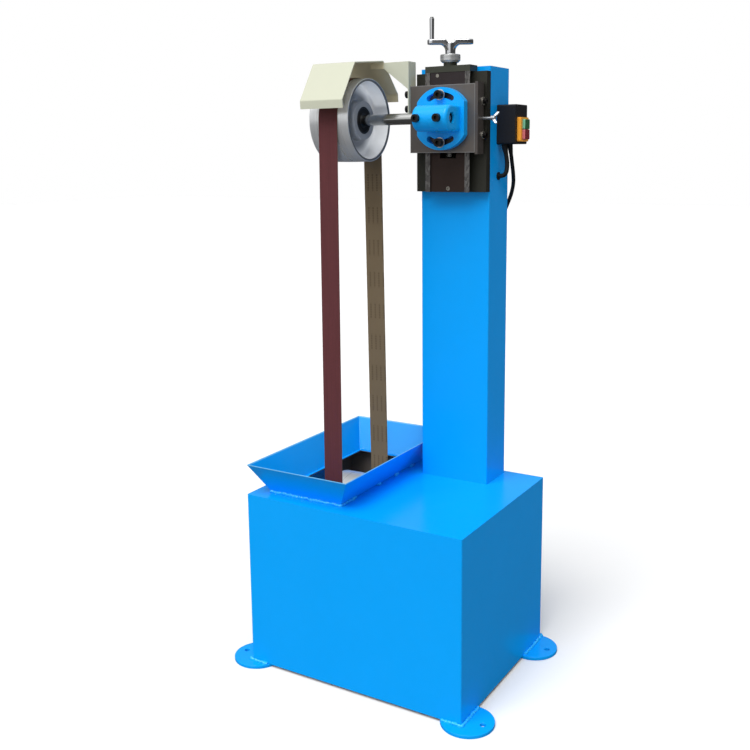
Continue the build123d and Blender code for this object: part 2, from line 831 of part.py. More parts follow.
def make_grip():
    bore = grip_spindle_radius + journal_gap
    points = [(bore, grip_bottom), (grip_bottom_radius, grip_bottom), (grip_top_radius, grip_top - 1),
              (grip_top_radius - 1, grip_top), (bore, grip_top)]
    return turned_z(points, grip_x, grip_y)


pieces["feed_screw"] = make_feed_screw()
pieces["dial_collar"] = make_dial()
pieces["crank_handle"] = make_crank()
pieces["grip_spindle"] = make_grip_spindle()
pieces["crank_grip"] = make_grip()

# Swivel flange with the shaft boss, its bolts and set screws
boss_left = column_x - boss_reach_left
boss_right = column_x + boss_reach_right
boss_front = wheel_axis_y - boss_radius
set_screw_x = column_x + set_screw_shift
set_screw_places = [set_screw_x - set_screw_spread / 2, set_screw_x + set_screw_spread / 2]
set_screw_seat_y = boss_front + set_screw_seat


def make_shaft_clamp():
    front = Plane(origin=(column_x, carriage_front, carriage_mid), x_dir=(1, 0, 0), z_dir=(0, -1, 0))
    disc = Circle(flange_radius) & Rectangle(2 * flange_flat, 2 * flange_radius)
    for start in (90 - slot_half_angle, 270 - slot_half_angle):
        disc -= SlotArc(CenterArc((0, 0), slot_radius, start, 2 * slot_half_angle), slot_width)
    flange = extrude(front * disc, flange_thickness)
    saddle = block(boss_left, boss_right, wheel_axis_y, flange_face, wheel_axis_z - boss_radius,
                   wheel_axis_z + boss_radius)
    boss = saddle + rod_x(boss_radius, boss_left, boss_right, wheel_axis_y, wheel_axis_z)
    boss = fillet(boss.edges().filter_by(GeomType.CIRCLE), boss_edge)
    clamp = flange + boss
    clamp -= rod_x(shaft_radius, boss_left - 1, boss_right + 1, wheel_axis_y, wheel_axis_z)
    for x in set_screw_places:
        clamp -= rod_y(set_screw_radius, boss_front - 1, wheel_axis_y, x, wheel_axis_z)
        head_room = set_screw_radius * cap_screw_head_ratio + bolt_gap
        clamp -= rod_y(head_room, boss_front - 1, set_screw_seat_y, x, wheel_axis_z)
    return clamp


def make_set_screws():
    """Cap screws in spot faces on the boss, whose tips press on the shaft."""
    screw = cap_screw(set_screw_radius, wheel_axis_y - shaft_radius - set_screw_seat_y)
    return group([facing_front(x, set_screw_seat_y, wheel_axis_z) * screw for x in set_screw_places])


washer_face = flange_face - swivel_washer_thickness - way_gap
swivel_bolt = cap_screw(swivel_bolt_radius, carriage_front + swivel_bolt_grip - 1 - washer_face)
swivel_washer = washer(swivel_bolt_radius, swivel_washer_radius, swivel_washer_thickness)
pieces["shaft_clamp"] = make_shaft_clamp()
pieces["clamp_set_screws"] = make_set_screws()
pieces["swivel_bolts"] = group([facing_front(column_x, washer_face, z) * swivel_bolt
                                for z in swivel_bolt_places])
pieces["swivel_washers"] = group([facing_front(column_x, flange_face - way_gap, z) * swivel_washer
                                  for z in swivel_bolt_places])

# Idler wheel on two sealed bearings
hub_left = belt_plane_x - idler_hub_length / 2
hub_right = belt_plane_x + idler_hub_length / 2
bearing_left_start = hub_left + bearing_inset
bearing_right_start = hub_right - bearing_inset - bearing_width
shaft_left = bearing_left_start
shaft_right = boss_right - shaft_recess
inner_ring_radius = shaft_radius + bearing_ring
outer_ring_bore = bearing_outer_radius - bearing_ring
seal_bore = inner_ring_radius + running_gap


def wheel_profile(radius, width, rim, web_left, web_right, hub_radius, left, right, bore, corner,
                  draft):
    """Half section of a wheel about its mid plane: crowned rim, web, hub and a plain bore."""
    half = width / 2
    inside = radius - rim
    deep = inside - draft
    tread = ThreePointArc((-half, radius - wheel_crown), (0, radius), (half, radius - wheel_crown))
    rest = Polyline((half, radius - wheel_crown), (half, inside), (web_right, deep),
                    (web_right, hub_radius),
                    (right, hub_radius - draft), (right, bore), (left, bore),
                    (left, hub_radius - draft),
                    (web_left, hub_radius), (web_left, deep), (-half, inside),
                    (-half, radius - wheel_crown))
    section = make_face([tread, rest])
    roots = [v for v in section.vertices()
             if min(abs(v.X - web_left), abs(v.X - web_right)) < 1e-6 and bore < v.Y < inside]
    return fillet(roots, corner)


def make_idler():
    section = wheel_profile(idler_radius, idler_width, idler_rim, -idler_web / 2, idler_web / 2,
                            idler_hub_radius,
                            -idler_hub_length / 2, idler_hub_length / 2,
                            bearing_outer_radius - hub_shoulder, idler_fillet, idler_rim_draft)
    wheel = Pos(belt_plane_x, wheel_axis_y, wheel_axis_z) * revolve(section, Axis.X)
    wheel -= rod_x(bearing_outer_radius, hub_left - 1, bearing_left_start + bearing_width, wheel_axis_y,
                   wheel_axis_z)
    return wheel - rod_x(bearing_outer_radius, bearing_right_start, hub_right + 1, wheel_axis_y,
                         wheel_axis_z)


def ring_x(inner, outer, x0, x1, y, z):
    return rod_x(outer, x0, x1, y, z) - rod_x(inner, x0 - 1, x1 + 1, y, z)


def idler_rings(inner, outer):
    starts = (bearing_left_start, bearing_right_start)
    return group([ring_x(inner, outer, x, x + bearing_width, wheel_axis_y, wheel_axis_z)
                  for x in starts])


def make_seals():
    seals = []
    for start in (bearing_left_start, bearing_right_start):
        for x in (start + seal_inset, start + bearing_width - seal_inset - seal_thickness):
            seals.append(ring_x(seal_bore, outer_ring_bore, x, x + seal_thickness, wheel_axis_y,
                                wheel_axis_z))
    return group(seals)


retainer_screw_radius = 5.0
retainer_screw_length = 28.0


def make_retainer(shaft_end, y, z):
    """Washer and screw on the left end of a shaft."""
    plate = washer(retainer_screw_radius, retainer_radius, retainer_thickness)
    screw = cap_screw(retainer_screw_radius, retainer_screw_length + retainer_thickness - 1)
    return group([facing_left(shaft_end, y, z) * plate,
                  facing_left(shaft_end - retainer_thickness, y, z) * screw])


shaft_blank = rod_x(shaft_radius, shaft_left, shaft_right, wheel_axis_y, wheel_axis_z)
pieces["idler_wheel"] = make_idler()
pieces["idler_outer_rings"] = idler_rings(outer_ring_bore, bearing_outer_radius)
pieces["idler_bearing_seals"] = make_seals()
idler_spacer = ring_x(shaft_radius, inner_ring_radius, bearing_left_start + bearing_width,
                      bearing_right_start,
                      wheel_axis_y, wheel_axis_z)
pieces["idler_inner_rings"] = group([idler_rings(shaft_radius, inner_ring_radius), idler_spacer])
pieces["idler_shaft"] = shaft_blank - rod_x(retainer_screw_radius, shaft_left - 1,
                                            shaft_left + retainer_screw_length, wheel_axis_y, wheel_axis_z)
pieces["idler_retainer"] = make_retainer(shaft_left, wheel_axis_y, wheel_axis_z)

# Motor in the cabinet, on two rails, with the drive wheel on its shaft
drive_hub_right_x = belt_plane_x + drive_hub_right
drive_hub_left_x = belt_plane_x - drive_hub_left
motor_face = drive_hub_right_x + motor_gap
frame_start = motor_face + motor_shield_length
frame_end = frame_start + motor_frame_length
fan_shield_end = frame_end + motor_shield_length
fan_start = fan_shield_end + fan_gap
cover_start = frame_end + fan_gap
cover_end = cover_start + fan_cover_length
frame_bore = motor_frame_radius - motor_frame_wall
rail_top = drive_axis_z - motor_axis_height
frame_mid = (frame_start + frame_end) / 2
motor_hole_x = [frame_mid - foot_hole_spread_x / 2, frame_mid + foot_hole_spread_x / 2]
motor_hole_y = [drive_axis_y - foot_hole_spread_y / 2, drive_axis_y + foot_hole_spread_y / 2]
fan_cover_radius = motor_frame_radius + fan_cover_wall
bearing_journal = motor_shaft_radius + motor_bearing_step
rotor_bore = bearing_journal + rotor_shoulder
terminal_face = drive_axis_y + motor_frame_radius + motor_fin_height


def motor_bolt_places():
    return [(x, y) for x in motor_hole_x for y in motor_hole_y]


def make_motor_frame():
    frame = rod_x(motor_frame_radius, frame_start, frame_end, drive_axis_y, drive_axis_z)
    fin = Pos(0, 0, motor_frame_radius + motor_fin_height / 2 - 1)
    fin *= Box(motor_frame_length, motor_fin_thickness, motor_fin_height + 2)
    for number in range(motor_fin_count):
        angle = 360 / motor_fin_count * (number + 0.5)
        frame += Pos(frame_mid, drive_axis_y, drive_axis_z) * Rot(angle, 0, 0) * fin
    for x, y in motor_bolt_places():
        foot = block(x - motor_foot_length / 2, x + motor_foot_length / 2, y - motor_foot_width / 2,
                     y + motor_foot_width / 2, rail_top, rail_top + motor_foot_thickness)
        web_y = y - motor_foot_width / 2 if y > drive_axis_y else y + motor_foot_width / 2
        web = block(x - motor_foot_length / 2, x + motor_foot_length / 2, web_y - motor_foot_web / 2,
                    web_y + motor_foot_web / 2, rail_top, drive_axis_z - motor_frame_radius / 2)
        foot += web
        frame += foot - rod_z(motor_bolt_radius + bolt_gap, rail_top - 1, drive_axis_z, x, y)
    frame += block(frame_mid - terminal_length / 2, frame_mid + terminal_length / 2,
                   drive_axis_y + frame_bore / 2,
                   terminal_face, drive_axis_z - terminal_height / 2, drive_axis_z + terminal_height / 2)
    return frame - rod_x(frame_bore, frame_start - 1, frame_end + 1, drive_axis_y, drive_axis_z)


def make_end_shields():
    shields = []
    for face, inner, side in ((motor_face, frame_start, 1), (fan_shield_end, frame_end, -1)):
        bore = bearing_journal + motor_shield_gap
        points = [(face, bore), (face, motor_bearing_radius + motor_shield_wall),
                  (inner - side * motor_shield_wall, motor_frame_radius), (inner, motor_frame_radius),
                  (inner, motor_bearing_radius)]
        pocket = face + side * (motor_shield_length - motor_bearing_width)
        points += [(pocket, motor_bearing_radius), (pocket, bore)]
        shields.append(turned_x(points, drive_axis_y, drive_axis_z))
    return group(shields)


def make_motor_shaft():
    ring_left = frame_start - motor_bearing_width
    ring_right = frame_end + motor_bearing_width
    points = [(drive_hub_left_x, 0), (drive_hub_left_x, motor_shaft_radius),
              (ring_left, motor_shaft_radius),
              (ring_left, bearing_journal), (frame_start, bearing_journal),
              (frame_start + rotor_shoulder_slope, rotor_bore),
              (frame_end - rotor_shoulder_slope, rotor_bore),
              (frame_end, bearing_journal), (ring_right, bearing_journal),
              (ring_right, motor_shaft_radius),
              (fan_start + fan_width, motor_shaft_radius), (fan_start + fan_width, 0)]
    shaft = turned_x(points, drive_axis_y, drive_axis_z)
    shaft -= key_block()
    return shaft - rod_x(retainer_screw_radius, drive_hub_left_x - 1,
                         drive_hub_left_x + retainer_screw_length,
                         drive_axis_y, drive_axis_z)


def key_block():
    start = drive_hub_left_x + (drive_hub_right_x - drive_hub_left_x - key_length) / 2
    low = drive_axis_z + motor_shaft_radius - key_sink
    return block(start, start + key_length, drive_axis_y - key_width / 2, drive_axis_y + key_width / 2,
                 low, low + key_height)


def make_drive_wheel():
    section = wheel_profile(drive_radius, drive_width, drive_rim, drive_web_x - drive_web / 2,
                            drive_web_x + drive_web / 2, drive_hub_radius, -drive_hub_left, drive_hub_right,
                            motor_shaft_radius, drive_edge, idler_rim_draft)
    wheel = Pos(belt_plane_x, drive_axis_y, drive_axis_z) * revolve(section, Axis.X)
    return wheel - key_block()


def make_fan_cover():
    outer = rod_x(fan_cover_radius, cover_start, cover_end, drive_axis_y, drive_axis_z)
    cup = outer - rod_x(motor_frame_radius, cover_start - 1, cover_end - fan_cover_wall, drive_axis_y,
                        drive_axis_z)
    for row in range(grille_slot_count):
        rise = (row - (grille_slot_count - 1) / 2) * grille_pitch
        half = sqrt(fan_radius ** 2 - rise ** 2) - grille_slot
        cup -= block(cover_end - 2 * fan_cover_wall, cover_end + 1, drive_axis_y - half,
                     drive_axis_y + half,
                     drive_axis_z + rise - grille_slot / 2, drive_axis_z + rise + grille_slot / 2)
    return cup


def make_fan():
    hub_radius = motor_shaft_radius + fan_hub_wall
    fan = ring_x(motor_shaft_radius, hub_radius, fan_start, fan_start + fan_width, drive_axis_y,
                 drive_axis_z)
    fan += ring_x(motor_shaft_radius, fan_radius, fan_start, fan_start + fan_disc, drive_axis_y,
                  drive_axis_z)
    blade_foot = (motor_shaft_radius + hub_radius) / 2
    blade = Pos(0, 0, (blade_foot + fan_radius) / 2) * Box(fan_width, fan_blade,
                                                           fan_radius - blade_foot)
    for number in range(fan_blade_count):
        turn = Rot(360 / fan_blade_count * number, 0, 0)
        fan += Pos(fan_start + fan_width / 2, drive_axis_y, drive_axis_z) * turn * blade
    return fan & rod_x(fan_radius, fan_start - 1, fan_start + fan_width + 1, drive_axis_y, drive_axis_z)


def make_motor_rails():
    rails = []
    front = cabinet_front + cabinet_wall
    rear = cabinet_rear - cabinet_wall
    for x in motor_hole_x:
        rail = block(x - rail_width / 2, x + rail_width / 2, front, rear, rail_top - rail_height,
                     rail_top)
        rail -= block(x - rail_width / 2 + rail_wall, x + rail_width / 2 - rail_wall, front - 1,
                      rear + 1,
                      rail_top - rail_height - 1, rail_top - rail_wall)
        for y in motor_hole_y:
            rail -= rod_z(motor_bolt_radius, rail_top - 2 * rail_wall, rail_top + 1, x, y)
        rails.append(rail)
    return group(rails)


def make_terminal_box():
    box = block(frame_mid - terminal_length / 2, frame_mid + terminal_length / 2, terminal_face,
                terminal_face + terminal_depth,
                drive_axis_z - terminal_height / 2, drive_axis_z + terminal_height / 2)
    return fillet(box.edges().filter_by(Axis.Y), terminal_corner)


rotor_radius = frame_bore - stator_depth - air_gap
motor_bolt = cap_screw(motor_bolt_radius, motor_foot_thickness + rail_wall)
pieces["motor_rails"] = make_motor_rails()
pieces["motor_frame"] = make_motor_frame()
pieces["motor_end_shields"] = make_end_shields()
pieces["motor_bearings"] = group([
    ring_x(bearing_journal + journal_gap, motor_bearing_radius, x, x + motor_bearing_width,
           drive_axis_y, drive_axis_z)
    for x in (frame_start - motor_bearing_width, frame_end)])
pieces["motor_stator"] = ring_x(frame_bore - stator_depth, frame_bore, frame_mid - stator_length / 2,
                                frame_mid + stator_length / 2, drive_axis_y, drive_axis_z)
pieces["motor_fan_cover"] = make_fan_cover()
pieces["motor_terminal_box"] = make_terminal_box()
pieces["motor_bolts"] = group([Pos(x, y, rail_top + motor_foot_thickness) * motor_bolt
                               for x, y in motor_bolt_places()])
pieces["motor_shaft"] = make_motor_shaft()
pieces["motor_rotor"] = ring_x(rotor_bore, rotor_radius, frame_mid - stator_length / 2,
                               frame_mid + stator_length / 2, drive_axis_y, drive_axis_z)
pieces["motor_fan"] = make_fan()
pieces["drive_wheel"] = make_drive_wheel()
pieces["drive_key"] = key_block()
pieces["drive_retainer"] = make_retainer(drive_hub_left_x, drive_axis_y, drive_axis_z)


# Abrasive belt: a closed loop round both wheels
def belt_loop(extra):
    low = Vector(drive_axis_y, drive_axis_z)
    high = Vector(wheel_axis_y, wheel_axis_z)
    low_radius = drive_radius + extra
    high_radius = idler_radius + extra
    along = (high - low).normalized()
    across = Vector(-along.Y, along.X)
    share = (low_radius - high_radius) / (high - low).length
    normals = [along * share + across * side * sqrt(1 - share ** 2) for side in (1, -1)]
    front = Line(low + normals[0] * low_radius, high + normals[0] * high_radius)
    over = ThreePointArc(high + normals[0] * high_radius, high + along * high_radius,
                         high + normals[1] * high_radius)
    rear = Line(high + normals[1] * high_radius, low + normals[1] * low_radius)
    under = ThreePointArc(low + normals[1] * low_radius, low - along * low_radius,
                          low + normals[0] * low_radius)
    return make_face([front, over, rear, under])


belt_inside = running_gap
belt_section = belt_loop(belt_inside + belt_thickness) - belt_loop(belt_inside)
belt_start = Plane.YZ.offset(belt_plane_x - belt_width / 2)
pieces["abrasive_belt"] = extrude(belt_start * belt_section, belt_width)

# Belt guard: a ridge, two slopes and two lips bent from one sheet, tilted forward about the wheel's axis
guard_right = belt_plane_x + idler_width / 2 + guard_overhang
guard_left = guard_right - guard_width


def guard_points(inset):
    """Corners of the sheet's outer face, or of a face that lies inset inside it, about the wheel's axis."""
    slope = hypot(guard_slope_run, guard_slope_drop)
    turn = asin(guard_slope_drop / slope)
    ridge = guard_ridge_height - inset
    ridge_half = guard_ridge_half - inset * tan(turn / 2)
    lip_half = guard_ridge_half + guard_slope_run - inset
    slope_end = ridge - (lip_half - ridge_half) * guard_slope_drop / guard_slope_run
    lip_end = guard_ridge_height - guard_slope_drop - guard_lip
    half = [(ridge_half, ridge), (lip_half, slope_end), (lip_half, lip_end)]
    return [(-y, z) for y, z in reversed(half)] + half


def guard_place(start):
    lean = Plane.YZ.offset(start)
    return lean * Pos(wheel_axis_y, wheel_axis_z) * Rot(0, 0, guard_tilt)


def make_guard():
    outer_points = guard_points(0)
    inner_points = guard_points(guard_sheet)
    outer = FilletPolyline(*outer_points, radius=guard_bend + guard_sheet)
    inner = FilletPolyline(*inner_points, radius=guard_bend)
    section = make_face([outer, Line(outer_points[-1], inner_points[-1]), inner,
                         Line(inner_points[0], outer_points[0])])
    return extrude(guard_place(guard_left) * section, guard_width)


def make_bracket():
    """A three-cornered plate welded under the ridge, with a flange along the carriage's left side."""
    top = wheel_axis_z + bracket_top
    plate = Plane(origin=(0, bracket_y + guard_sheet, 0), x_dir=(1, 0, 0), z_dir=(0, -1, 0))
    flange_x = carriage_left_x - guard_sheet
    corner_z = top - bracket_corner_drop
    web = make_face(Polyline((guard_right, top), (carriage_left_x, top), (carriage_left_x, corner_z),
                             (flange_x, corner_z), (guard_right, top - bracket_tab_height), close=True))
    bracket = extrude(plate * web, guard_sheet)
    tab = block(guard_right - bracket_tab_length, guard_right, bracket_y, bracket_y + guard_sheet,
                top - bracket_tab_height, top + guard_ridge_height)
    under = make_face(Polyline(*guard_points(guard_sheet), close=True))
    bracket += tab & extrude(guard_place(guard_left) * under, guard_width)
    foot_bottom = bracket_bolt_places[0] - bracket_foot_margin
    bracket += block(flange_x, carriage_left_x, bracket_y, bracket_y + bracket_depth, foot_bottom, top)
    for z in bracket_bolt_places:
        bracket -= rod_x(bracket_bolt_radius + bolt_gap, flange_x - 1, carriage_left_x + 1,
                         bracket_bolt_y, z)
    return bracket


def make_bracket_bolts():
    """Two cap screws with washers, through the bracket's flange into the carriage."""
    flange_x = carriage_left_x - guard_sheet
    head_x = flange_x - bracket_washer_thickness
    screw = cap_screw(bracket_bolt_radius, carriage_left_x + bracket_bolt_depth - 1 - head_x)
    ring = washer(bracket_bolt_radius, bracket_washer_radius, bracket_washer_thickness)
    screws = [facing_left(head_x, bracket_bolt_y, z) * screw for z in bracket_bolt_places]
    return group(screws + [facing_left(flange_x, bracket_bolt_y, z) * ring
                           for z in bracket_bolt_places])


pieces["belt_guard"] = make_guard()
pieces["guard_bracket"] = make_bracket()
pieces["guard_bracket_bolts"] = make_bracket_bolts()

# Switch box on the column's right face
switch_left = column_right
switch_right = column_right + switch_width
switch_rear = column_rear + switch_overhang
switch_front = switch_rear - switch_depth
switch_top = switch_bottom + switch_height
frame_mid_y = (switch_front + switch_rear) / 2
button_pitch = button_height + button_space
frame_height = button_pitch + button_height + 2 * frame_margin
frame_bottom = switch_bottom + frame_lift
frame_mid_z = frame_bottom + frame_height / 2
frame_face = switch_right + frame_thickness
button_places = {"start_button": frame_mid_z + button_pitch / 2,
                 "stop_button": frame_mid_z - button_pitch / 2}


def make_switch_box():
    box = block(switch_left, switch_right, switch_front, switch_rear, switch_bottom, switch_top)
    box = fillet(box.edges().filter_by(Axis.X), switch_corner)
    hollow = block(switch_left + switch_wall, switch_right - switch_wall, switch_front + switch_wall,
                   switch_rear - switch_wall, switch_bottom + switch_wall, switch_top - switch_wall)
    window = block(switch_right - 2 * switch_wall, switch_right + 1,
                   frame_mid_y - button_width / 2 - button_flange - 1,
                   frame_mid_y + button_width / 2 + button_flange + 1, frame_mid_z - button_pitch - 1,
                   frame_mid_z + button_pitch + 1)
    return box - hollow - window


def make_switch_frame():
    frame = block(switch_right, frame_face, frame_mid_y - frame_width / 2,
                  frame_mid_y + frame_width / 2,
                  frame_bottom, frame_bottom + frame_height)
    frame = fillet(frame.edges().filter_by(Axis.X), frame_corner)
    for z in button_places.values():
        half_y = button_width / 2 + button_gap
        half_z = button_height / 2 + button_gap
        frame -= block(switch_right - 1, frame_face + 1, frame_mid_y - half_y, frame_mid_y + half_y,
                       z - half_z, z + half_z)
    return frame


def make_button(z):
    cap = block(switch_right, frame_face + button_proud, frame_mid_y - button_width / 2,
                frame_mid_y + button_width / 2, z - button_height / 2, z + button_height / 2)
    cap = fillet(cap.edges().filter_by(Axis.X), button_corner)
    cap = fillet(cap.edges().group_by(Axis.X)[-1], button_corner / 2)
    rim = button_flange / 2 + button_gap
    back = block(switch_right - button_flange, switch_right - running_gap,
                 frame_mid_y - button_width / 2 - rim, frame_mid_y + button_width / 2 + rim,
                 z - button_height / 2, z + button_height / 2)
    neck = block(switch_right - button_flange, switch_right, frame_mid_y - button_width / 4,
                 frame_mid_y + button_width / 4, z - button_height / 4, z + button_height / 4)
    return cap + back + neck


pieces["switch_box"] = make_switch_box()
pieces["switch_frame"] = make_switch_frame()
for name, height in button_places.items():
    pieces[name] = make_button(height)


# Leads: a tapered boot under the box, a bent tube, and a grommet on the column
def beside_column(points):
    return [(column_right + x, column_rear + y, switch_bottom + z) for x, y, z in points]


def lead_radii(points):
    radii = []
    for before, corner, after in zip(points, points[1:], points[2:]):
        arrive = Vector(*corner) - Vector(*before)
        leave = Vector(*after) - Vector(*corner)
        turn = radians(arrive.get_angle(leave))
        radii.append(lead_arc_share * min(arrive.length, leave.length) / tan(turn / 2))
    return radii


def make_lead(name, points, radius):
    radii = lead_radii(points)
    path = FilletPolyline(*points, radius=radii)
    heading = Plane(origin=path @ 0, z_dir=path % 0)
    tube = sweep(heading * Circle(radius), path=path)
    expected = pi * radius ** 2 * path.length
    print(name, "length", round(path.length, 1), "radii", [round(r) for r in radii],
          "volume", round(tube.volume / expected, 4))
    return tube


def make_boot(points, radius):
    start = Vector(*points[0])
    run = (Vector(*points[1]) - start).normalized()
    wide = radius / lead_boot_taper
    lower = Plane(origin=start, z_dir=(-run.X, -run.Y, -run.Z)) * Circle(radius)
    upper = Pos(start.X - run.X * lead_boot_length, start.Y - run.Y * lead_boot_length,
                switch_bottom) * Circle(wide)
    return loft([lower, upper])


side_face = column_right + grommet_thickness
rear_face = column_rear + grommet_thickness
motor_route = beside_column(motor_lead_points) + [(side_face, motor_entry_y, motor_entry_z)]
supply_route = beside_column(supply_lead_points) + [(supply_entry_x, rear_face, supply_entry_z)]
pieces["motor_lead"] = make_lead("motor_lead", motor_route, motor_lead_radius)
pieces["supply_lead"] = make_lead("supply_lead", supply_route, supply_lead_radius)
pieces["lead_boots"] = group([make_boot(motor_route, motor_lead_radius),
                              make_boot(supply_route, supply_lead_radius)])
pieces["column_grommets"] = group([
    rod_x(motor_lead_radius + grommet_margin, column_right, side_face, motor_entry_y, motor_entry_z),
    rod_y(supply_lead_radius + grommet_margin, column_rear, rear_face, supply_entry_x, supply_entry_z)])

for name, shape in pieces.items():
    export_step(shape, f"parts/{name}.step")
loop_length = belt_loop(belt_inside + belt_thickness / 2).wire().length
print("nodes", len(pieces), "belt length", round(loop_length), "drive ratio",
      round(drive_radius / idler_radius, 4))
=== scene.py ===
# %% [markdown]
# # A vertical belt sander
# A floor machine for grinding and polishing: a narrow abrasive belt runs from a driven wheel inside the
# cabinet to an idler wheel on a slide at the top of a column. The solid model already holds every piece at
# its real size, so it is loaded first and stays as it is. This lesson adds what a solid can't hold: paint,
# cast and turned metal, cloth and grit, welds, threads and cords.

# %% Load the solid model
import json
import math

import bmesh
import bpy
from mathutils import Matrix, Vector


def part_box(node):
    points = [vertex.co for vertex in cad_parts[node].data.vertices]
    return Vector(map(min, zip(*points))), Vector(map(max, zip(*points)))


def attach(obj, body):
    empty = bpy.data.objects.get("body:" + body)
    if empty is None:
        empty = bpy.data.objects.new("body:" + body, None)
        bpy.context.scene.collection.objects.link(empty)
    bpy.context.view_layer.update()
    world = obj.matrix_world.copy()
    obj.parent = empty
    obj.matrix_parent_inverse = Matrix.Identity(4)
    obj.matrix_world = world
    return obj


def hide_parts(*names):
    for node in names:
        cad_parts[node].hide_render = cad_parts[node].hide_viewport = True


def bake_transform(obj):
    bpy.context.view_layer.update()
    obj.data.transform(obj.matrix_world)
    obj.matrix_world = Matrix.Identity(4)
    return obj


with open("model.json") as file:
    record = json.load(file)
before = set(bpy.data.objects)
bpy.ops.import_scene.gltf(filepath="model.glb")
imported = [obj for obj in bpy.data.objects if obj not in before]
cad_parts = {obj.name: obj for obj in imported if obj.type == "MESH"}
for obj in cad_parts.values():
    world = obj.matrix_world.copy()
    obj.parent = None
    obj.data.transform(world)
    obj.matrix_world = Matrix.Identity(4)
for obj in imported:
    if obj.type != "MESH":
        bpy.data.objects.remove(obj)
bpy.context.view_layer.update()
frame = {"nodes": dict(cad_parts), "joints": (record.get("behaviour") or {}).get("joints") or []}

scene = bpy.context.scene
scene.view_settings.view_transform = "Standard"
joints = {joint["name"]: joint for joint in frame["joints"]}
idler_axle = Vector(joints["idler_spin"]["pos_m"])
drive_axle = Vector(joints["drive_spin"]["pos_m"])

# %% [markdown]
# ## The camera
# The photograph was taken from the front right, a little above the middle of the machine. A camera could be
# aimed at a target, but here the direction, tilt and roll were worked out from straight edges of the
# cabinet and column, so the camera's axes are built from those three angles. The lens comes from the focal
# length in pixels. The small shift stands for a picture that was cropped a little off centre.

# %% Camera
photo_width = 750
focal_pixels = 972.1
crop_shift = -0.07
camera_place = Vector((1.1285, -1.9494, 1.2298))
turn_left = math.radians(31.22)
tilt_down = math.radians(9.88)
lean = math.radians(-0.62)


def add(name, data):
    """Puts a new object into the scene."""
    made = bpy.data.objects.new(name, data)
    scene.collection.objects.link(made)
    return made


level = Vector((math.cos(turn_left), math.sin(turn_left), 0))
ahead = Vector((-math.sin(turn_left), math.cos(turn_left), -math.tan(tilt_down))).normalized()
upright = level.cross(ahead)
right = level * math.cos(lean) + upright * math.sin(lean)
up = upright * math.cos(lean) - level * math.sin(lean)

camera = add("photo_camera", bpy.data.cameras.new("photo_camera"))
camera.matrix_world = Matrix.LocRotScale(camera_place, Matrix((right, up, -ahead)).transposed(), None)
camera.data.lens = focal_pixels / photo_width * camera.data.sensor_width
camera.data.shift_y = crop_shift
scene.camera = camera
print("lens", round(camera.data.lens, 1), "mm")

# %% [markdown]
# ## Helpers for node trees
# Materials, worlds and Geometry Nodes are all node trees. A few small helpers keep the later cells short:
# one places a node with its inputs filled or linked, and others do sums, take vectors apart and together,
# stretch a value over a range and mix two colours. A socket knows its own tree, so only the first helper has
# to be told which tree it works in.


# %% Nodes and sums
def place(tree, kind, inputs=None, **settings):
    made = tree.nodes.new(kind)
    for name, value in settings.items():
        setattr(made, name, value)
    for name, value in (inputs or {}).items():
        if isinstance(value, bpy.types.NodeSocket):
            tree.links.new(value, made.inputs[name])
        else:
            made.inputs[name].default_value = value
    return made


def sums(operation, first, second=0.0, third=0.0):
    inputs = {0: first, 1: second, 2: third}
    return place(first.id_data, "ShaderNodeMath", inputs, operation=operation).outputs[0]


def times(first, *others):
    for other in others:
        first = sums("MULTIPLY", first, other)
    return first


def over(value, limit):
    """One where a value is above a limit, and zero elsewhere."""
    return sums("GREATER_THAN", value, limit)


def under(value, limit):
    return sums("LESS_THAN", value, limit)


def between(value, low, high, new_low=0.0, new_high=1.0):
    """Stretches the part of a value from low to high over a new range, and holds it at the ends."""
    inputs = {"Value": value, "From Min": low, "From Max": high, "To Min": new_low, "To Max": new_high}
    return place(value.id_data, "ShaderNodeMapRange", inputs).outputs["Result"]


print("sums ready")


# %% Vectors and colours
def vectors(operation, first, second=(0.0, 0.0, 0.0)):
    return place(first.id_data, "ShaderNodeVectorMath", {0: first, 1: second}, operation=operation).outputs


def split(vector):
    return place(vector.id_data, "ShaderNodeSeparateXYZ", {0: vector}).outputs


def joined(**parts):
    tree = next(iter(parts.values())).id_data
    return place(tree, "ShaderNodeCombineXYZ", parts).outputs[0]


def mapped(vector, scale=(1.0, 1.0, 1.0), rotation=(0.0, 0.0, 0.0)):
    inputs = {"Vector": vector, "Scale": scale, "Rotation": rotation}
    return place(vector.id_data, "ShaderNodeMapping", inputs).outputs[0]


def scaled(vector, factor):
    inputs = {0: vector, "Scale": factor}
    return place(factor.id_data, "ShaderNodeVectorMath", inputs, operation="SCALE").outputs[0]


def mixed(share, first, second):
    colour_sockets = {0: share, 6: first, 7: second}
    return place(share.id_data, "ShaderNodeMix", colour_sockets, data_type="RGBA").outputs[2]


def screen(red, green, blue):
    """A screen colour from 0 to 255, as the linear values that a shader works with."""
    shares = [value / 255 for value in (red, green, blue)]
    linear = [share / 12.92 if share <= 0.04045 else ((share + 0.055) / 1.055) ** 2.4 for share in shares]
    return (*linear, 1.0)


sky_blue = screen(4, 166, 255)
print("enamel blue is", [round(value, 3) for value in sky_blue[:3]])

# %% [markdown]
# ## The studio
# The machine stands alone on white. Its light falls from above and a little in front: the cabinet's top is
# the brightest face and the right side the darkest. A lamp nearby would light the head more than the feet,
# so each light is a wide soft sun, which is even over the whole height: a key from above, a fill from the
# front left, one from beside the camera that reaches under the guard and into the wheel, and a weak one
# from behind for the far side. Only the key shows in polished faces, as a lamp would. The others stand for
# large pale walls.

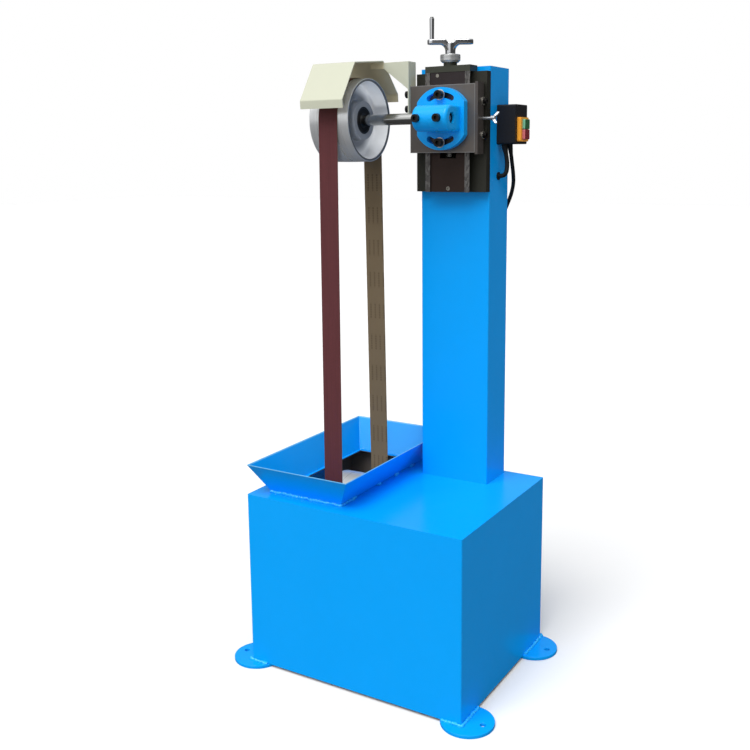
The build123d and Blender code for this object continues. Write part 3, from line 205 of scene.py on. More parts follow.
# %% Suns
suns = {"key_sun": ((0.04, -0.50, 0.86), 2.65, 45.0, True),
        "left_sun": ((-0.45, -0.70, 0.55), 0.62, 50.0, False),
        "fill_sun": ((0.66, -0.75, 0.06), 0.8, 80.0, False),
        "back_sun": ((0.25, 0.85, 0.5), 0.6, 60.0, False)}


def shining_from(side):
    """The turn of a lamp whose light comes from a side."""
    return Vector(side).to_track_quat("Z", "Y").to_euler()


for name, (side, strength, width, in_metal) in suns.items():
    sun = add(name, bpy.data.lights.new(name, "SUN"))
    sun.data.energy = strength
    sun.data.angle = math.radians(width)
    sun.rotation_euler = shining_from(side)
    sun.visible_glossy = in_metal
print("suns", list(suns))

# %% [markdown]
# The guard keeps the suns off the wheel, so a photographer would set one soft spot low in front of it, with
# flags that keep its light off the rest. Here light linking does what the flags do: the lamp lights the wheel
# only. Its face is wide, so that the shaft's shadow on the wheel stays faint.

# %% Wheel lamp
lamp_place = Vector((0.522, -1.40, 0.905))
lamp_spread = 9.5

lamp_lit = bpy.data.collections.new("lit_by_wheel_lamp")
lamp_lit.objects.link(frame["nodes"]["idler_wheel"])
wheel_lamp = add("wheel_lamp", bpy.data.lights.new("wheel_lamp", "SPOT"))
wheel_lamp.location = lamp_place
wheel_lamp.rotation_euler = shining_from(lamp_place - idler_axle)
wheel_lamp.visible_glossy = False
wheel_lamp.light_linking.receiver_collection = lamp_lit
wheel_lamp.data.energy = 200.0
wheel_lamp.data.spot_size = math.radians(lamp_spread)
wheel_lamp.data.spot_blend = 0.6
wheel_lamp.data.shadow_soft_size = 0.25
print("wheel lamp", lamp_spread, "degrees wide")

# %% [markdown]
# The world is white to the camera, through the light path, so the background adds no light. Polished metal
# needs something to mirror. In a real studio that is a soft box in front, a bright lamp high at the front
# left, a pale ceiling and a backdrop, with dark walls between them, and that contrast is what makes metal
# look like metal. Rays that leave a glossy surface therefore see those, as soft patches of the sky.

# %% World
fill_light = 0.21
wall_share = 0.08
backdrop_share = 0.3
high_lamp = 1.6
below_box = 0.05
patch_edge = (0.6, 0.9)
lamp_edge = (0.86, 0.96)
ceiling_edge = (0.4, 0.85)
box_foot = (-0.08, 0.08)
backdrop_side = Vector((ahead.x, ahead.y, 0)).normalized()
soft_box_side = Vector((-0.25, -0.97, 0))
high_lamp_side = Vector((-0.52, -0.48, 0.71))

world = bpy.data.worlds.new("pale_studio")
world.use_nodes = True
sky = world.node_tree
sky.nodes.clear()
rays = place(sky, "ShaderNodeLightPath").outputs
direction = place(sky, "ShaderNodeTexCoord").outputs["Generated"]
height = split(direction)["Z"]
to_backdrop, to_box, to_lamp = [vectors("DOT_PRODUCT", direction, side)["Value"]
                                for side in (backdrop_side, soft_box_side, high_lamp_side)]
patches = [between(height, *ceiling_edge),
           between(to_lamp, *lamp_edge, 0.0, high_lamp),
           times(between(to_box, *patch_edge), between(height, *box_foot, below_box, 1.0)),
           between(to_backdrop, *patch_edge, wall_share, backdrop_share)]
mirrored = patches[0]
for patch in patches[1:]:
    mirrored = sums("MAXIMUM", mirrored, patch)
polished = sums("MAXIMUM", rays["Is Glossy Ray"], rays["Is Transmission Ray"])
lit = sums("MULTIPLY_ADD", polished, sums("SUBTRACT", mirrored, fill_light), fill_light)
strength = sums("MAXIMUM", lit, rays["Is Camera Ray"])
background = place(sky, "ShaderNodeBackground", {"Color": (1, 1, 1, 1), "Strength": strength})
place(sky, "ShaderNodeOutputWorld", {"Surface": background.outputs[0]})
scene.world = world
print("fill light", fill_light, "and", len(patches), "patches to mirror")

# %% [markdown]
# The floor is one pale sheet. A white floor would throw so much light back up that every underside turned
# bright, so it is pale to the camera and a plain grey to the light that it throws back. Metal and paint
# mirror it dark all round the machine, and lighter far off towards the camera's side. It keeps the
# machine's soft shadow.

# %% Floor
half_floor = 20.0
floor_seen = 0.97
floor_bounced = 0.31
floor_near = 0.06
floor_far = 0.35
floor_fade = (3.5, 6.5)

floor_material = bpy.data.materials.new("studio_floor")
floor_material.use_nodes = True
floor_tree = floor_material.node_tree
floor_shader = floor_tree.nodes["Principled BSDF"]
rays = place(floor_tree, "ShaderNodeLightPath").outputs
floor_spot = place(floor_tree, "ShaderNodeTexCoord").outputs["Object"]
to_front = vectors("DOT_PRODUCT", floor_spot, -backdrop_side)["Value"]
floor_mirrored = between(to_front, *floor_fade, floor_near, floor_far)
unseen = between(rays["Is Glossy Ray"], 0.0, 1.0, floor_bounced, floor_mirrored)
floor_tree.links.new(between(rays["Is Camera Ray"], 0.0, 1.0, unseen, floor_seen),
                     floor_shader.inputs["Base Color"])
floor_shader.inputs["Roughness"].default_value = 0.9
floor_shader.inputs["Specular IOR Level"].default_value = 0.1

floor_mesh = bpy.data.meshes.new("studio_floor")
floor_mesh.from_pydata([(-half_floor, -half_floor, 0), (half_floor, -half_floor, 0),
                        (half_floor, half_floor, 0), (-half_floor, half_floor, 0)], [], [(0, 1, 2, 3)])
floor_mesh.materials.append(floor_material)
floor = add("studio_floor", floor_mesh)
print("floor", 2 * half_floor, "metres")

# %% [markdown]
# ## Finishes that several materials share
# Real paint and metal are never one flat colour. Four small effects come back on many pieces, so each is a
# node group that is built once: the slow drift of a colour over a large face, the orange peel of sprayed
# enamel, the fine lines that a cutting tool or a grinding wheel leaves, and the pitted skin of a casting. A
# group hands out a colour, or a height and a roughness. The shader itself stays in each material.


# %% A group and its sockets
def add_sockets(tree, in_out, sockets):
    """Gives a tree named sockets of a kind. A number stands for a plain value with that default."""
    for label, kind in sockets.items():
        plain = {float: "Float", int: "Int"}.get(type(kind), kind)
        made = tree.interface.new_socket(label, in_out=in_out, socket_type="NodeSocket" + plain)
        if plain != kind:
            made.default_value = kind


def start_group(name, inputs, outputs):
    group = bpy.data.node_groups.new(name, "ShaderNodeTree")
    add_sockets(group, "INPUT", {"Vector": "Vector", **inputs})
    add_sockets(group, "OUTPUT", outputs)
    return group, place(group, "NodeGroupInput").outputs


def noise(vector, scale, detail=2.0, roughness=0.5):
    inputs = {"Vector": vector, "Scale": scale, "Detail": detail, "Roughness": roughness}
    return place(vector.id_data, "ShaderNodeTexNoise", inputs).outputs[0]


def cells(vector, scale):
    return place(vector.id_data, "ShaderNodeTexVoronoi", {"Vector": vector, "Scale": scale}).outputs


def cell_tone(pattern):
    """A random value for each cell of a pattern."""
    return place(pattern["Color"].id_data, "ShaderNodeSeparateColor", {0: pattern["Color"]}).outputs[0]


skin_outputs = {"Height": "Float", "Roughness": "Float"}
print("a skin hands out", list(skin_outputs))


# %% Colour drift
def make_colour_drift():
    """A colour that is a little lighter here and darker there, over hand-sized and thumb-sized patches."""
    broad_share, small_share = 0.65, 0.35
    group, given = start_group("colour_drift", {"Colour": "Color", "Spread": 0.1}, {"Colour": "Color"})
    broad = noise(given["Vector"], scale=4.0, detail=3.0)
    small = noise(given["Vector"], scale=38.0, detail=3.0)
    both = sums("MULTIPLY_ADD", small, small_share, times(broad, broad_share))
    centred = sums("SUBTRACT", both, 0.5)
    factor = sums("MULTIPLY_ADD", centred, given["Spread"], 1.0)
    place(group, "NodeGroupOutput", {"Colour": scaled(given["Colour"], factor)})
    return group


finishes = {"drift": make_colour_drift()}
print("colour drift", len(finishes["drift"].nodes), "nodes")


# %% Orange peel
def make_orange_peel():
    """The shallow ripple of sprayed enamel, and patches that dried a little duller."""
    sag_share, dulling = 1.6, 0.12
    group, given = start_group("orange_peel", {"Ripple": 420.0, "Gloss": 0.25}, skin_outputs)
    ripple = noise(given["Vector"], given["Ripple"], detail=1.0)
    sag = noise(given["Vector"], scale=26.0)
    dull_patch = noise(given["Vector"], scale=9.0, detail=3.0, roughness=0.6)
    place(group, "NodeGroupOutput", {
        "Height": sums("MULTIPLY_ADD", sag, sag_share, ripple),
        "Roughness": sums("MULTIPLY_ADD", dull_patch, dulling, given["Gloss"])})
    return group


finishes["peel"] = make_orange_peel()
print("orange peel", len(finishes["peel"].nodes), "nodes")


# %% Tool lines
def make_tool_lines():
    """Fine parallel lines, long in whichever direction the coordinates are squeezed."""
    wide_scale = 0.12
    group, given = start_group("tool_lines", {"Fine": 900.0, "Gloss": 0.3, "Spread": 0.2}, skin_outputs)
    lines = noise(given["Vector"], given["Fine"], detail=3.0, roughness=0.7)
    wide = noise(given["Vector"], times(given["Fine"], wide_scale))
    height = sums("MULTIPLY_ADD", wide, 0.5, times(lines, 0.5))
    centred = sums("SUBTRACT", height, 0.5)
    roughness = sums("MULTIPLY_ADD", centred, given["Spread"], given["Gloss"])
    place(group, "NodeGroupOutput", {"Height": height, "Roughness": roughness})
    return group


finishes["lines"] = make_tool_lines()
print("tool lines", len(finishes["lines"].nodes), "nodes")


# %% Cast skin
def make_cast_skin():
    """The grain that a sand mould leaves, with a few deeper pits."""
    pit_share, pit_edge, dulling = 0.35, (0.02, 0.22), 0.2
    group, given = start_group("cast_skin", {"Grain": 500.0, "Gloss": 0.5}, skin_outputs)
    grain = noise(given["Vector"], given["Grain"], detail=3.0, roughness=0.6)
    pit = cells(given["Vector"], times(given["Grain"], pit_share))
    pits = between(pit["Distance"], *pit_edge)
    place(group, "NodeGroupOutput", {
        "Height": times(grain, pits),
        "Roughness": sums("MULTIPLY_ADD", grain, dulling, given["Gloss"])})
    return group


finishes["cast"] = make_cast_skin()
print("shared finishes", list(finishes))

# %% [markdown]
# Every material starts the same way, with a shader and the Object coordinates that its pattern reads, and
# ends the same way, with a colour and a skin linked to the shader. A skin is a roughness and a height in
# one.


# %% The start and end of a material
def shader_inputs(material):
    return material.node_tree.nodes["Principled BSDF"].inputs


def start_material(name, metallic=0.0, specular=0.5):
    material = bpy.data.materials.new(name)
    material.use_nodes = True
    shader_inputs(material)["Metallic"].default_value = metallic
    shader_inputs(material)["Specular IOR Level"].default_value = specular
    return material, place(material.node_tree, "ShaderNodeTexCoord").outputs["Object"]


def finish(kind, vector, **inputs):
    """Places a shared finish and fills or links its inputs."""
    inputs["Vector"] = vector
    return place(vector.id_data, "ShaderNodeGroup", inputs, node_tree=finishes[kind]).outputs


def tone(spot, colour, spread):
    return finish("drift", spot, Colour=colour, Spread=spread)["Colour"]


def two_colours(spot, mask, first, second):
    """One colour where a mask is zero and another where it is one, each with its own drift."""
    return mixed(mask, tone(spot, *first), tone(spot, *second))


def dress(material, colour, skin, depth):
    """Links a colour and a skin, whose height is so many metres deep, to the material's shader."""
    tree = material.node_tree
    bump = place(tree, "ShaderNodeBump", {"Height": skin["Height"], "Distance": depth})
    looks = {"Base Color": colour, "Roughness": skin["Roughness"], "Normal": bump.outputs[0]}
    for name, look in looks.items():
        tree.links.new(look, shader_inputs(material)[name])
    return material


def duller(skin, mask, by):
    """The same skin, but rougher where a mask is one, or smoother by a negative amount."""
    return {"Height": skin["Height"], "Roughness": sums("MULTIPLY_ADD", mask, by, skin["Roughness"])}


peel_depth = 0.00006
line_depth = 0.00002
print("peel", peel_depth, "and lines", line_depth, "metres deep")

# %% [markdown]
# ## Enamel
# The stand is welded from sheet and sprayed a strong sky blue; the guard over the idler is cream. Sprayed
# enamel is smooth but not flat, so it gets the orange peel in its height and the drift in its colour. The
# motor inside has the same kind of paint over a rough casting, and so has the blue clamp that holds the
# idler's shaft.


# %% Enamels
def make_enamel(name, colour, spread, gloss, specular, ripple=420.0, depth=peel_depth):
    material, spot = start_material(name, specular=specular)
    peel = finish("peel", spot, Ripple=ripple, Gloss=gloss)
    return dress(material, tone(spot, colour, spread), peel, depth)


blue_tone = (sky_blue, 0.1)
blue_gloss = 0.16
enamels = {"blue_enamel": make_enamel("blue_enamel", *blue_tone, blue_gloss, specular=0.24),
           "motor_grey": make_enamel("motor_grey", screen(96, 104, 110), spread=0.2, gloss=0.4,
                                     specular=0.4, ripple=700.0)}
blue_casting = make_enamel("blue_casting", screen(8, 172, 255), spread=0.14, gloss=0.22, specular=0.3,
                           ripple=170.0, depth=0.0003)
# The weld enamel is painted lighter than the blue, as a painted highlight on the lumpy bead.
weld_enamel = make_enamel("weld_enamel", screen(36, 184, 255), spread=0.3, gloss=0.14, specular=0.55)
print("enamels", list(enamels), blue_casting.name, weld_enamel.name)

# %% [markdown]
# Inside the cabinet there is no enamel, only primer and dust. The shell is one piece of sheet, so its
# material asks where a point is: what lies within the walls is primer, and the rest is enamel. Along the top
# of the tray's rim the paint is a paler blue.


# %% Cabinet and tray
def inside_box(spot, low, high):
    """One where a point lies between two corners, and zero elsewhere."""
    share = 1.0
    for axis, start, end in zip(split(spot), low, high):
        apart = sums("ABSOLUTE", sums("SUBTRACT", axis, (start + end) / 2))
        share = times(under(apart, (end - start) / 2), share)
    return share


def make_shell_paint():
    half_sheet = 0.0015
    primer_dulling = 0.4
    primer = (screen(112, 104, 98), 0.5)
    low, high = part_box("cabinet_shell")
    inner_low = [low[0] + half_sheet, low[1] + half_sheet, low[2] - half_sheet]
    inner_high = [value - half_sheet for value in high]
    material, spot = start_material("cabinet_paint", specular=0.24)
    hidden = inside_box(spot, inner_low, inner_high)
    colour = two_colours(spot, hidden, blue_tone, primer)
    peel = finish("peel", spot, Gloss=blue_gloss)
    return dress(material, colour, duller(peel, hidden, primer_dulling), peel_depth)


def make_tray_paint():
    pale_band_height = 0.0022
    paler_blue = (screen(112, 200, 255), 0.5)
    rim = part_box("belt_tray")[1][2] - pale_band_height
    material, spot = start_material("tray_paint", specular=0.4)
    on_rim_top = over(split(spot)["Z"], rim)
    colour = two_colours(spot, on_rim_top, blue_tone, paler_blue)
    return dress(material, colour, finish("peel", spot, Gloss=blue_gloss), peel_depth)


shell_paint = make_shell_paint()
tray_paint = make_tray_paint()
print("cabinet and tray", shell_paint.name, tray_paint.name)

# %% [markdown]
# Under the guard the cream is painted lighter and yellower: partly grinding dust, partly painted light where
# the suns don't reach. The guard is a sheet with a ridge, two slopes and two lips, tilted about the wheel's
# axle. A point lies on its inner face when it is below the middle of the sheet at the ridge, at the slope and
# at the lip, so three sums in the guard's own tilted axes find it. The bracket beyond the guard's right edge
# has the same paint and stays plain cream.


# %% Guard
def make_guard_paint():
    tilt = math.radians(5.0)
    ridge_half, ridge_height = 0.0626, 0.1316
    slope_run, slope_drop = 0.0616, 0.0784
    half_sheet = 0.00125
    dust_dulling = 0.3
    # The inner cream is lighter than the outer: dust, and painted light for the inside of the guard.
    cream, dusty_painted_light_cream = (screen(206, 208, 188), 0.05), (screen(226, 216, 182), 0.25)
    fall = slope_drop / slope_run
    slope_top = ridge_height + ridge_half * fall - half_sheet * math.hypot(1, fall)
    material, spot = start_material("guard_paint", specular=0.3)
    from_axle = vectors("SUBTRACT", spot, idler_axle)[0]
    tilted = split(mapped(from_axle, rotation=(-tilt, 0, 0)))
    aside = sums("ABSOLUTE", tilted["Y"])
    under_ridge = under(tilted["Z"], ridge_height - half_sheet)
    under_slope = under(sums("MULTIPLY_ADD", aside, fall, tilted["Z"]), slope_top)
    behind_lip = under(aside, ridge_half + slope_run - half_sheet)
    left_of_edge = under(split(spot)["X"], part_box("belt_guard")[1][0])
    inner = times(under_ridge, under_slope, behind_lip, left_of_edge)
    colour = two_colours(spot, inner, cream, dusty_painted_light_cream)
    peel = finish("peel", spot, Gloss=0.3)
    return dress(material, colour, duller(peel, inner, dust_dulling), peel_depth)


guard_paint = make_guard_paint()
print("guard paint", guard_paint.name)

# %% [markdown]
# ## Turned, ground and plated metal
# A turned or ground face shows fine lines in one direction. The lines come from noise whose coordinates are
# squeezed along the cut, which costs less than modelling grooves that are finer than a hair. Each metal
# below is a colour, a roughness and a squeeze, and where they differ from most, how uneven its roughness
# is, how metallic it is and how far its colour drifts.


# %% Plain metals
def lined(material, spot, colour, gloss, squeeze, spread):
    """Ends a metal with tool lines, which also shade its colour."""
    darkest, shade_range = 0.85, 0.3
    lines = finish("lines", mapped(spot, squeeze), Gloss=gloss, Spread=spread)
    shade = sums("MULTIPLY_ADD", lines["Height"], shade_range, darkest)
    return dress(material, scaled(colour, shade), lines, line_depth)


def make_metal(name, colour, gloss, squeeze, spread=0.25, metallic=1.0, drift=0.3):
    material, spot = start_material(name, metallic=metallic)
    return lined(material, spot, tone(spot, colour, drift), gloss, squeeze, spread)


even = (1.0, 1.0, 1.0)
# The olive tint that olive_iron gives the bearing block is a painted reflection of greenish light.
metal_sorts = {"bright_steel": (screen(190, 190, 188), 0.24, (1.0, 0.05, 0.05)),
               "zinc_screw": (screen(158, 155, 146), 0.34, even),
               "black_screw": (screen(40, 39, 40), 0.36, even, 0.25, 0.8),
               "chrome_plate": (screen(205, 207, 210), 0.10, (0.4, 0.4, 0.4), 0.06),
               "bronze": (screen(176, 132, 78), 0.34, (1.0, 0.2, 1.0)),
               "bearing_black": (screen(34, 34, 35), 0.42, (0.2, 1.0, 1.0), 0.2, 0.4),
               "oiled_sheet": (screen(68, 62, 63), 0.46, (1.0, 1.0, 0.1)),
               "olive_iron": (screen(62, 64, 54), 0.46, (0.3, 1.0, 1.0), 0.3, 0.4, 0.6),
               "strip_iron": (screen(92, 86, 82), 0.46, (1.0, 1.0, 0.06), 0.3, 0.6),
               "bright_zinc": (screen(190, 195, 199), 0.3, even, 0.2, 0.8),
               "satin_dial": (screen(200, 201, 200), 0.24, (1.0, 1.0, 0.05), 0.2, 0.6)}
metals = {name: make_metal(name, *sort) for name, sort in metal_sorts.items()}
print("metals", list(metals))

# %% [markdown]
# The carriage is ground iron, painted lighter along its edges as a painted edge highlight. The shaft's end
# shows in the clamp's bore as a bright middle with a dark chamfer round it, the chamfer's dark colour being
# painted shade from the bore. Both ask how far a point is from the piece's own border.


# %% Carriage and shaft end
def make_edge_highlit_iron():
    border = 0.0016
    # The edge colour is lighter than the face, as a painted edge highlight.
    painted_edge_highlight, ground_face = (screen(136, 133, 130), 0.6), (screen(106, 100, 95), 0.35)
    low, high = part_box("carriage")
    inner_low = [low[0] + border, low[1] - border, low[2] + border]
    inner_high = [high[0] - border, high[1] + border, high[2] - border]
    material, spot = start_material("edge_highlit_iron", metallic=0.6)
    inner = inside_box(spot, inner_low, inner_high)
    colour = two_colours(spot, inner, painted_edge_highlight, ground_face)
    return lined(material, spot, colour, gloss=0.44, squeeze=(1.0, 1.0, 0.06), spread=0.3)


def about_axle(spot, axle):
    """How far a point lies along and away from an axle, and both as coordinates for lines round it."""
    parts = split(vectors("SUBTRACT", spot, axle)[0])
    reach = vectors("LENGTH", joined(Y=parts["Y"], Z=parts["Z"]))["Value"]
    return parts["X"], reach, joined(X=parts["X"], Y=reach)


def make_shaft_metal():
    middle_radius = 0.0055
    end_depth = 0.0006
    # The dark colour on the shaft's end ring is painted shade from the clamp's bore.
    bright, bore_shade = (screen(180, 181, 180), 0.3), (screen(30, 28, 27), 0.5)
    shaft_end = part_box("idler_shaft")[1][0]
    material, spot = start_material("shaft_metal", metallic=1.0)
    along, reach, round_shaft = about_axle(spot, idler_axle)
    at_end = over(along, shaft_end - end_depth - idler_axle.x)
    in_bore_shade = times(at_end, over(reach, middle_radius))
    colour = two_colours(spot, in_bore_shade, bright, bore_shade)
    return dress(material, colour, finish("lines", round_shaft, Gloss=0.15, Spread=0.2), line_depth)


edge_highlit_iron = make_edge_highlit_iron()
shaft_metal = make_shaft_metal()
print("carriage and shaft", edge_highlit_iron.name, shaft_metal.name)

# %% [markdown]
# ## The two wheels
# Both wheels are aluminium castings. The tread is turned bright, the rim's edges are turned and painted dark
# as a painted dark reflection, and the hollow between rim and hub keeps its cast skin, painted darker towards
# the hub and paler towards the rim as painted shade and light in the hollow. One material does all: the
# distance from the axle tells the parts from each other, and the lines run round the axle because the angle
# is left out.


# %% Wheel metal
def make_wheel_metal(name, axle, half_width, radius):
    tread_depth, edge_depth, cast_gain = 0.0025, 0.002, 5.0
    cast_metallic, tread_gain = 0.2, 0.45
    hollow_low, hollow_high = 0.62 * radius, 0.82 * radius
    # The hub and rim colours paint shade deep in the hollow and light on the rim's inner face.
    shaded_near_hub, lit_near_rim = (screen(136, 141, 149), 0.7), (screen(243, 245, 247), 0.5)
    # The dark rim-edge colour is a painted dark reflection.
    dark_edge_reflection, bright = (screen(92, 94, 98), 0.8), (screen(214, 216, 218), 0.2)
    material, spot = start_material(name)
    along, reach, round_axle = about_axle(spot, axle)
    tread = over(reach, radius - tread_depth)
    rim_edge = over(sums("ABSOLUTE", along), half_width - edge_depth)
    turned = sums("MAXIMUM", tread, rim_edge)
    lines = finish("lines", round_axle, Fine=700.0, Gloss=0.30, Spread=0.3)
    cast = finish("cast", spot, Grain=420.0, Gloss=0.42)
    cast_height = times(cast["Height"], cast_gain)
    skin = {"Roughness": between(turned, 0.0, 1.0, cast["Roughness"], lines["Roughness"]),
            "Height": between(turned, 0.0, 1.0, cast_height, lines["Height"])}
    outer = between(reach, hollow_low, hollow_high)
    hollow = two_colours(spot, outer, shaded_near_hub, lit_near_rim)
    with_dark_edge = mixed(rim_edge, hollow, tone(spot, *dark_edge_reflection))
    colour = mixed(tread, with_dark_edge, tone(spot, *bright))
    metallic = sums("MULTIPLY_ADD", tread, tread_gain, cast_metallic)
    material.node_tree.links.new(metallic, shader_inputs(material)["Metallic"])
    return dress(material, colour, skin, line_depth)


wheel_metals = {}
for wheel, axle in (("idler_wheel", idler_axle), ("drive_wheel", drive_axle)):
    low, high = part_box(wheel)
    half_width = (high[0] - low[0]) / 2
    wheel_metals[wheel] = make_wheel_metal(wheel + "_metal", axle, half_width, (high[2] - low[2]) / 2)
print("wheel metals", list(wheel_metals))

# %% [markdown]
# ## The slide
# The slide's base is dark cast iron. Only the two strips that the carriage rubs on are bare: they are
# scraped by hand into small overlapping flakes that hold oil. The channel between them is brown with old
# grease. Depth and distance from the middle line tell strip, channel and ledge apart.


# %% Slide iron
def make_slide_iron():
    channel_play, strip_depth, ledge_depth = 0.0005, 0.0008, 0.016
    cast_depth, scraping = 0.00008, -0.12
    scraped_at = math.radians(40)
    bare_iron, flake_shades = screen(102, 100, 98)[:3], (0.5, 1.45)
    dark_iron, old_grease = (screen(54, 54, 47), 0.6), (screen(56, 43, 38), 0.7)
    low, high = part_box("slide_base")
    channel_low, channel_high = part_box("channel_shield")
    channel_half = (channel_high[0] - channel_low[0]) / 2 + channel_play
    material, spot = start_material("slide_iron", metallic=0.6)
    axes = split(spot)
    aside = sums("ABSOLUTE", sums("SUBTRACT", axes["X"], (low[0] + high[0]) / 2))
    in_channel = times(under(aside, channel_half), under(axes["Y"], low[1] + ledge_depth))
    on_strip = times(over(aside, channel_half), under(axes["Y"], low[1] + strip_depth))
    slanting = mapped(spot, scale=(1.0, 0.2, 0.45), rotation=(0, scraped_at, 0))
    bare = scaled(bare_iron, between(cell_tone(cells(slanting, scale=330.0)), 0.0, 1.0, *flake_shades))
    oiled = two_colours(spot, in_channel, dark_iron, old_grease)
    skin = finish("cast", spot, Grain=600.0, Gloss=0.42)
    colour = mixed(on_strip, oiled, bare)
    return dress(material, colour, duller(skin, on_strip, scraping), cast_depth)


slide_iron = make_slide_iron()
print("slide iron", slide_iron.name)

# %% [markdown]
# The screws that press the slide's gib carry a bright washer under a black head. They are one node, so the
# distance along the screw tells washer from head. The switch's two caps change in the same way: their faces
# are deep green and deep red, and their sides are painted pale, as a painted highlight of glare.


# %% Gib screws and switch caps
def make_two_tone(name, border, near_colour, far_colour, metallic):
    """A finish that changes colour at a distance along X."""
    drift = 0.3
    material, spot = start_material(name, metallic=metallic)
    beyond = over(split(spot)["X"], border)
    colour = two_colours(spot, beyond, (near_colour, drift), (far_colour, drift))
    return dress(material, colour, finish("lines", spot, Gloss=0.34), line_depth)


gib_washer = 0.0021
cap_face = 0.0012
gib_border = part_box("side_strip")[1][0] + gib_washer
cap_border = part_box("start_button")[1][0] - cap_face
# The pale near colours of the two caps are a painted highlight of glare on their sides.
two_tones = {
    "gib_screws": make_two_tone("gib_metal", gib_border, screen(214, 211, 202), screen(44, 43, 43), 0.9),
    "start_button": make_two_tone("green_cap", cap_border, screen(116, 186, 156), screen(34, 100, 54), 0.0),
    "stop_button": make_two_tone("red_cap", cap_border, screen(204, 116, 124), screen(128, 24, 36), 0.0)}
print("washers end at", round(gib_border, 4), "and cap faces start at", round(cap_border, 4))

# %% [markdown]
# ## Plastics and rubber
# The switch is moulded plastic with a faint spark-eroded grain, and its leads are rubber, duller and
# softer. Each is a colour, a roughness, a grain and that grain's depth.


# %% Plastics and rubber
def make_moulded(name, colour, gloss, grain, depth):
    drift = 0.15
    material, spot = start_material(name, specular=0.2)
    skin = finish("cast", spot, Grain=grain, Gloss=gloss)
    return dress(material, tone(spot, colour, drift), skin, depth)


moulded_sorts = {"black_plastic": (screen(28, 29, 34), 0.40, 2200.0, 0.00004),
                 "orange_plastic": (screen(255, 174, 60), 0.22, 2200.0, 0.00002),
                 "black_rubber": (screen(26, 26, 27), 0.45, 1400.0, 0.00005)}
moulded = {name: make_moulded(name, *sort) for name, sort in moulded_sorts.items()}
print("plastics and rubber", list(moulded))

# %% [markdown]
# ## Dressing the solid pieces
# Each solid came in with a plain material that has the name of its slot in the record. Swapping that plain
# material for the finished one of the same name dresses every piece at once. Some pieces have a finish of
# their own.

# %% Swap in the finished materials
wardrobe = {**enamels, **metals, **moulded}
own_sort = {"screw_bearing_block": "olive_iron", "side_strip": "strip_iron", "wing_screw": "bright_zinc",
            "swivel_washers": "bright_zinc", "dial_collar": "satin_dial", "channel_shield": "oiled_sheet",
            "idler_outer_rings": "bearing_black", "idler_inner_rings": "bearing_black",
            "idler_bearing_seals": "black_rubber"}
own_finish = {"cabinet_shell": shell_paint, "belt_tray": tray_paint, "belt_guard": guard_paint,
              "guard_bracket": guard_paint, "shaft_clamp": blue_casting, "slide_base": slide_iron,
              "carriage": edge_highlit_iron, "idler_shaft": shaft_metal, **two_tones, **wheel_metals,
              **{name: wardrobe[sort] for name, sort in own_sort.items()}}
for name, node in frame["nodes"].items():
    for slot in node.material_slots:
        plain = slot.material.name.split(".")[0] if slot.material else ""
        slot.material = own_finish.get(name) or wardrobe.get(plain) or slot.material
print("dressed", len(frame["nodes"]), "pieces,", len(own_finish), "with a finish of their own")

# %% [markdown]
# ## Soft edges
# No real edge is perfectly sharp: sheet is deburred, castings are broken with a file, and paint rounds what
# is left. The thin bright line on such an edge is what makes a solid look real. A solid's mesh is loose
# triangles, so Weld joins them first, Bevel then rounds what is sharper than the limit, and Weighted Normal
# keeps the flat faces flat. The meshes themselves stay as they are.

# %% Soft edges
edge_limit = math.radians(32)
same_corner = 0.00001
edge_rounds = {0.0010: ["cabinet_shell", "foot_plates", "column", "switch_box", "shaft_clamp"],
               0.0007: ["belt_tray", "carriage", "slide_base", "screw_bearing_block", "column_cap",
                        "side_cover"],
               0.0004: ["belt_guard", "guard_bracket", "side_strip", "channel_shield", "switch_frame",
                        "dial_collar", "swivel_washers", "idler_wheel", "drive_wheel"]}
for width, names in edge_rounds.items():
    for name in names:
        node = frame["nodes"][name]
        weld = node.modifiers.new("join_triangles", "WELD")
        weld.merge_threshold = same_corner
        bevel = node.modifiers.new("soft_edges", "BEVEL")
        bevel.width = width
        bevel.segments = 2
        bevel.limit_method = "ANGLE"
        bevel.angle_limit = edge_limit
        node.modifiers.new("flat_faces", "WEIGHTED_NORMAL")
print("softened", sum(len(names) for names in edge_rounds.values()), "pieces")

# %% [markdown]
# The crank is a plated casting without one sharp edge. A bevel would only trim its corners, so its surface
# is rebuilt from small even squares and smoothed, which rounds the arms as polishing does before plating.

# %% Crank
crank = frame["nodes"]["crank_handle"]
squares = crank.modifiers.new("even_squares", "REMESH")
squares.mode = "VOXEL"
squares.voxel_size = 0.0008
squares.use_smooth_shade = True
polish = crank.modifiers.new("polish", "SMOOTH")
polish.factor = 0.5
polish.iterations = 36
print("crank squares", round(squares.voxel_size, 4), "metres")

# %% [markdown]
# ## The abrasive belt
# The belt is a strip of cloth 50 mm wide with grit glued on its outside, joined into a loop and pulled
# tight over both wheels. It could be swept along a curve, but its path is two straight runs and two arcs,
# which are easy to work out: a belt leaves a wheel where its run is square to the wheel's radius. Each
# point of the path gives four corners of the strip, and the distance along the loop goes into the UV map,
# so that weave and grit follow the belt.

# %% Belt path
belt_low, belt_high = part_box("abrasive_belt")
belt_thickness = 0.0012
belt_cut = 0.85
run_steps = 16
arc_steps = 48
idler_reach = belt_high[2] - idler_axle.z - belt_thickness
drive_reach = (belt_high[1] - belt_low[1]) / 2 - belt_thickness

between_axles = idler_axle - drive_axle
rise = math.atan2(between_axles.z, between_axles.y)
lean_in = math.asin((drive_reach - idler_reach) / between_axles.length)
rear_angle = rise - math.pi / 2 + lean_in
front_angle = rise + math.pi / 2 - lean_in


def on_wheel(axle, reach, angle):
    """A point of the path on a wheel, with the direction that points away from the axle."""
    outward = Vector((0, math.cos(angle), math.sin(angle)))
    return Vector((0, axle.y, axle.z)) + outward * reach, outward


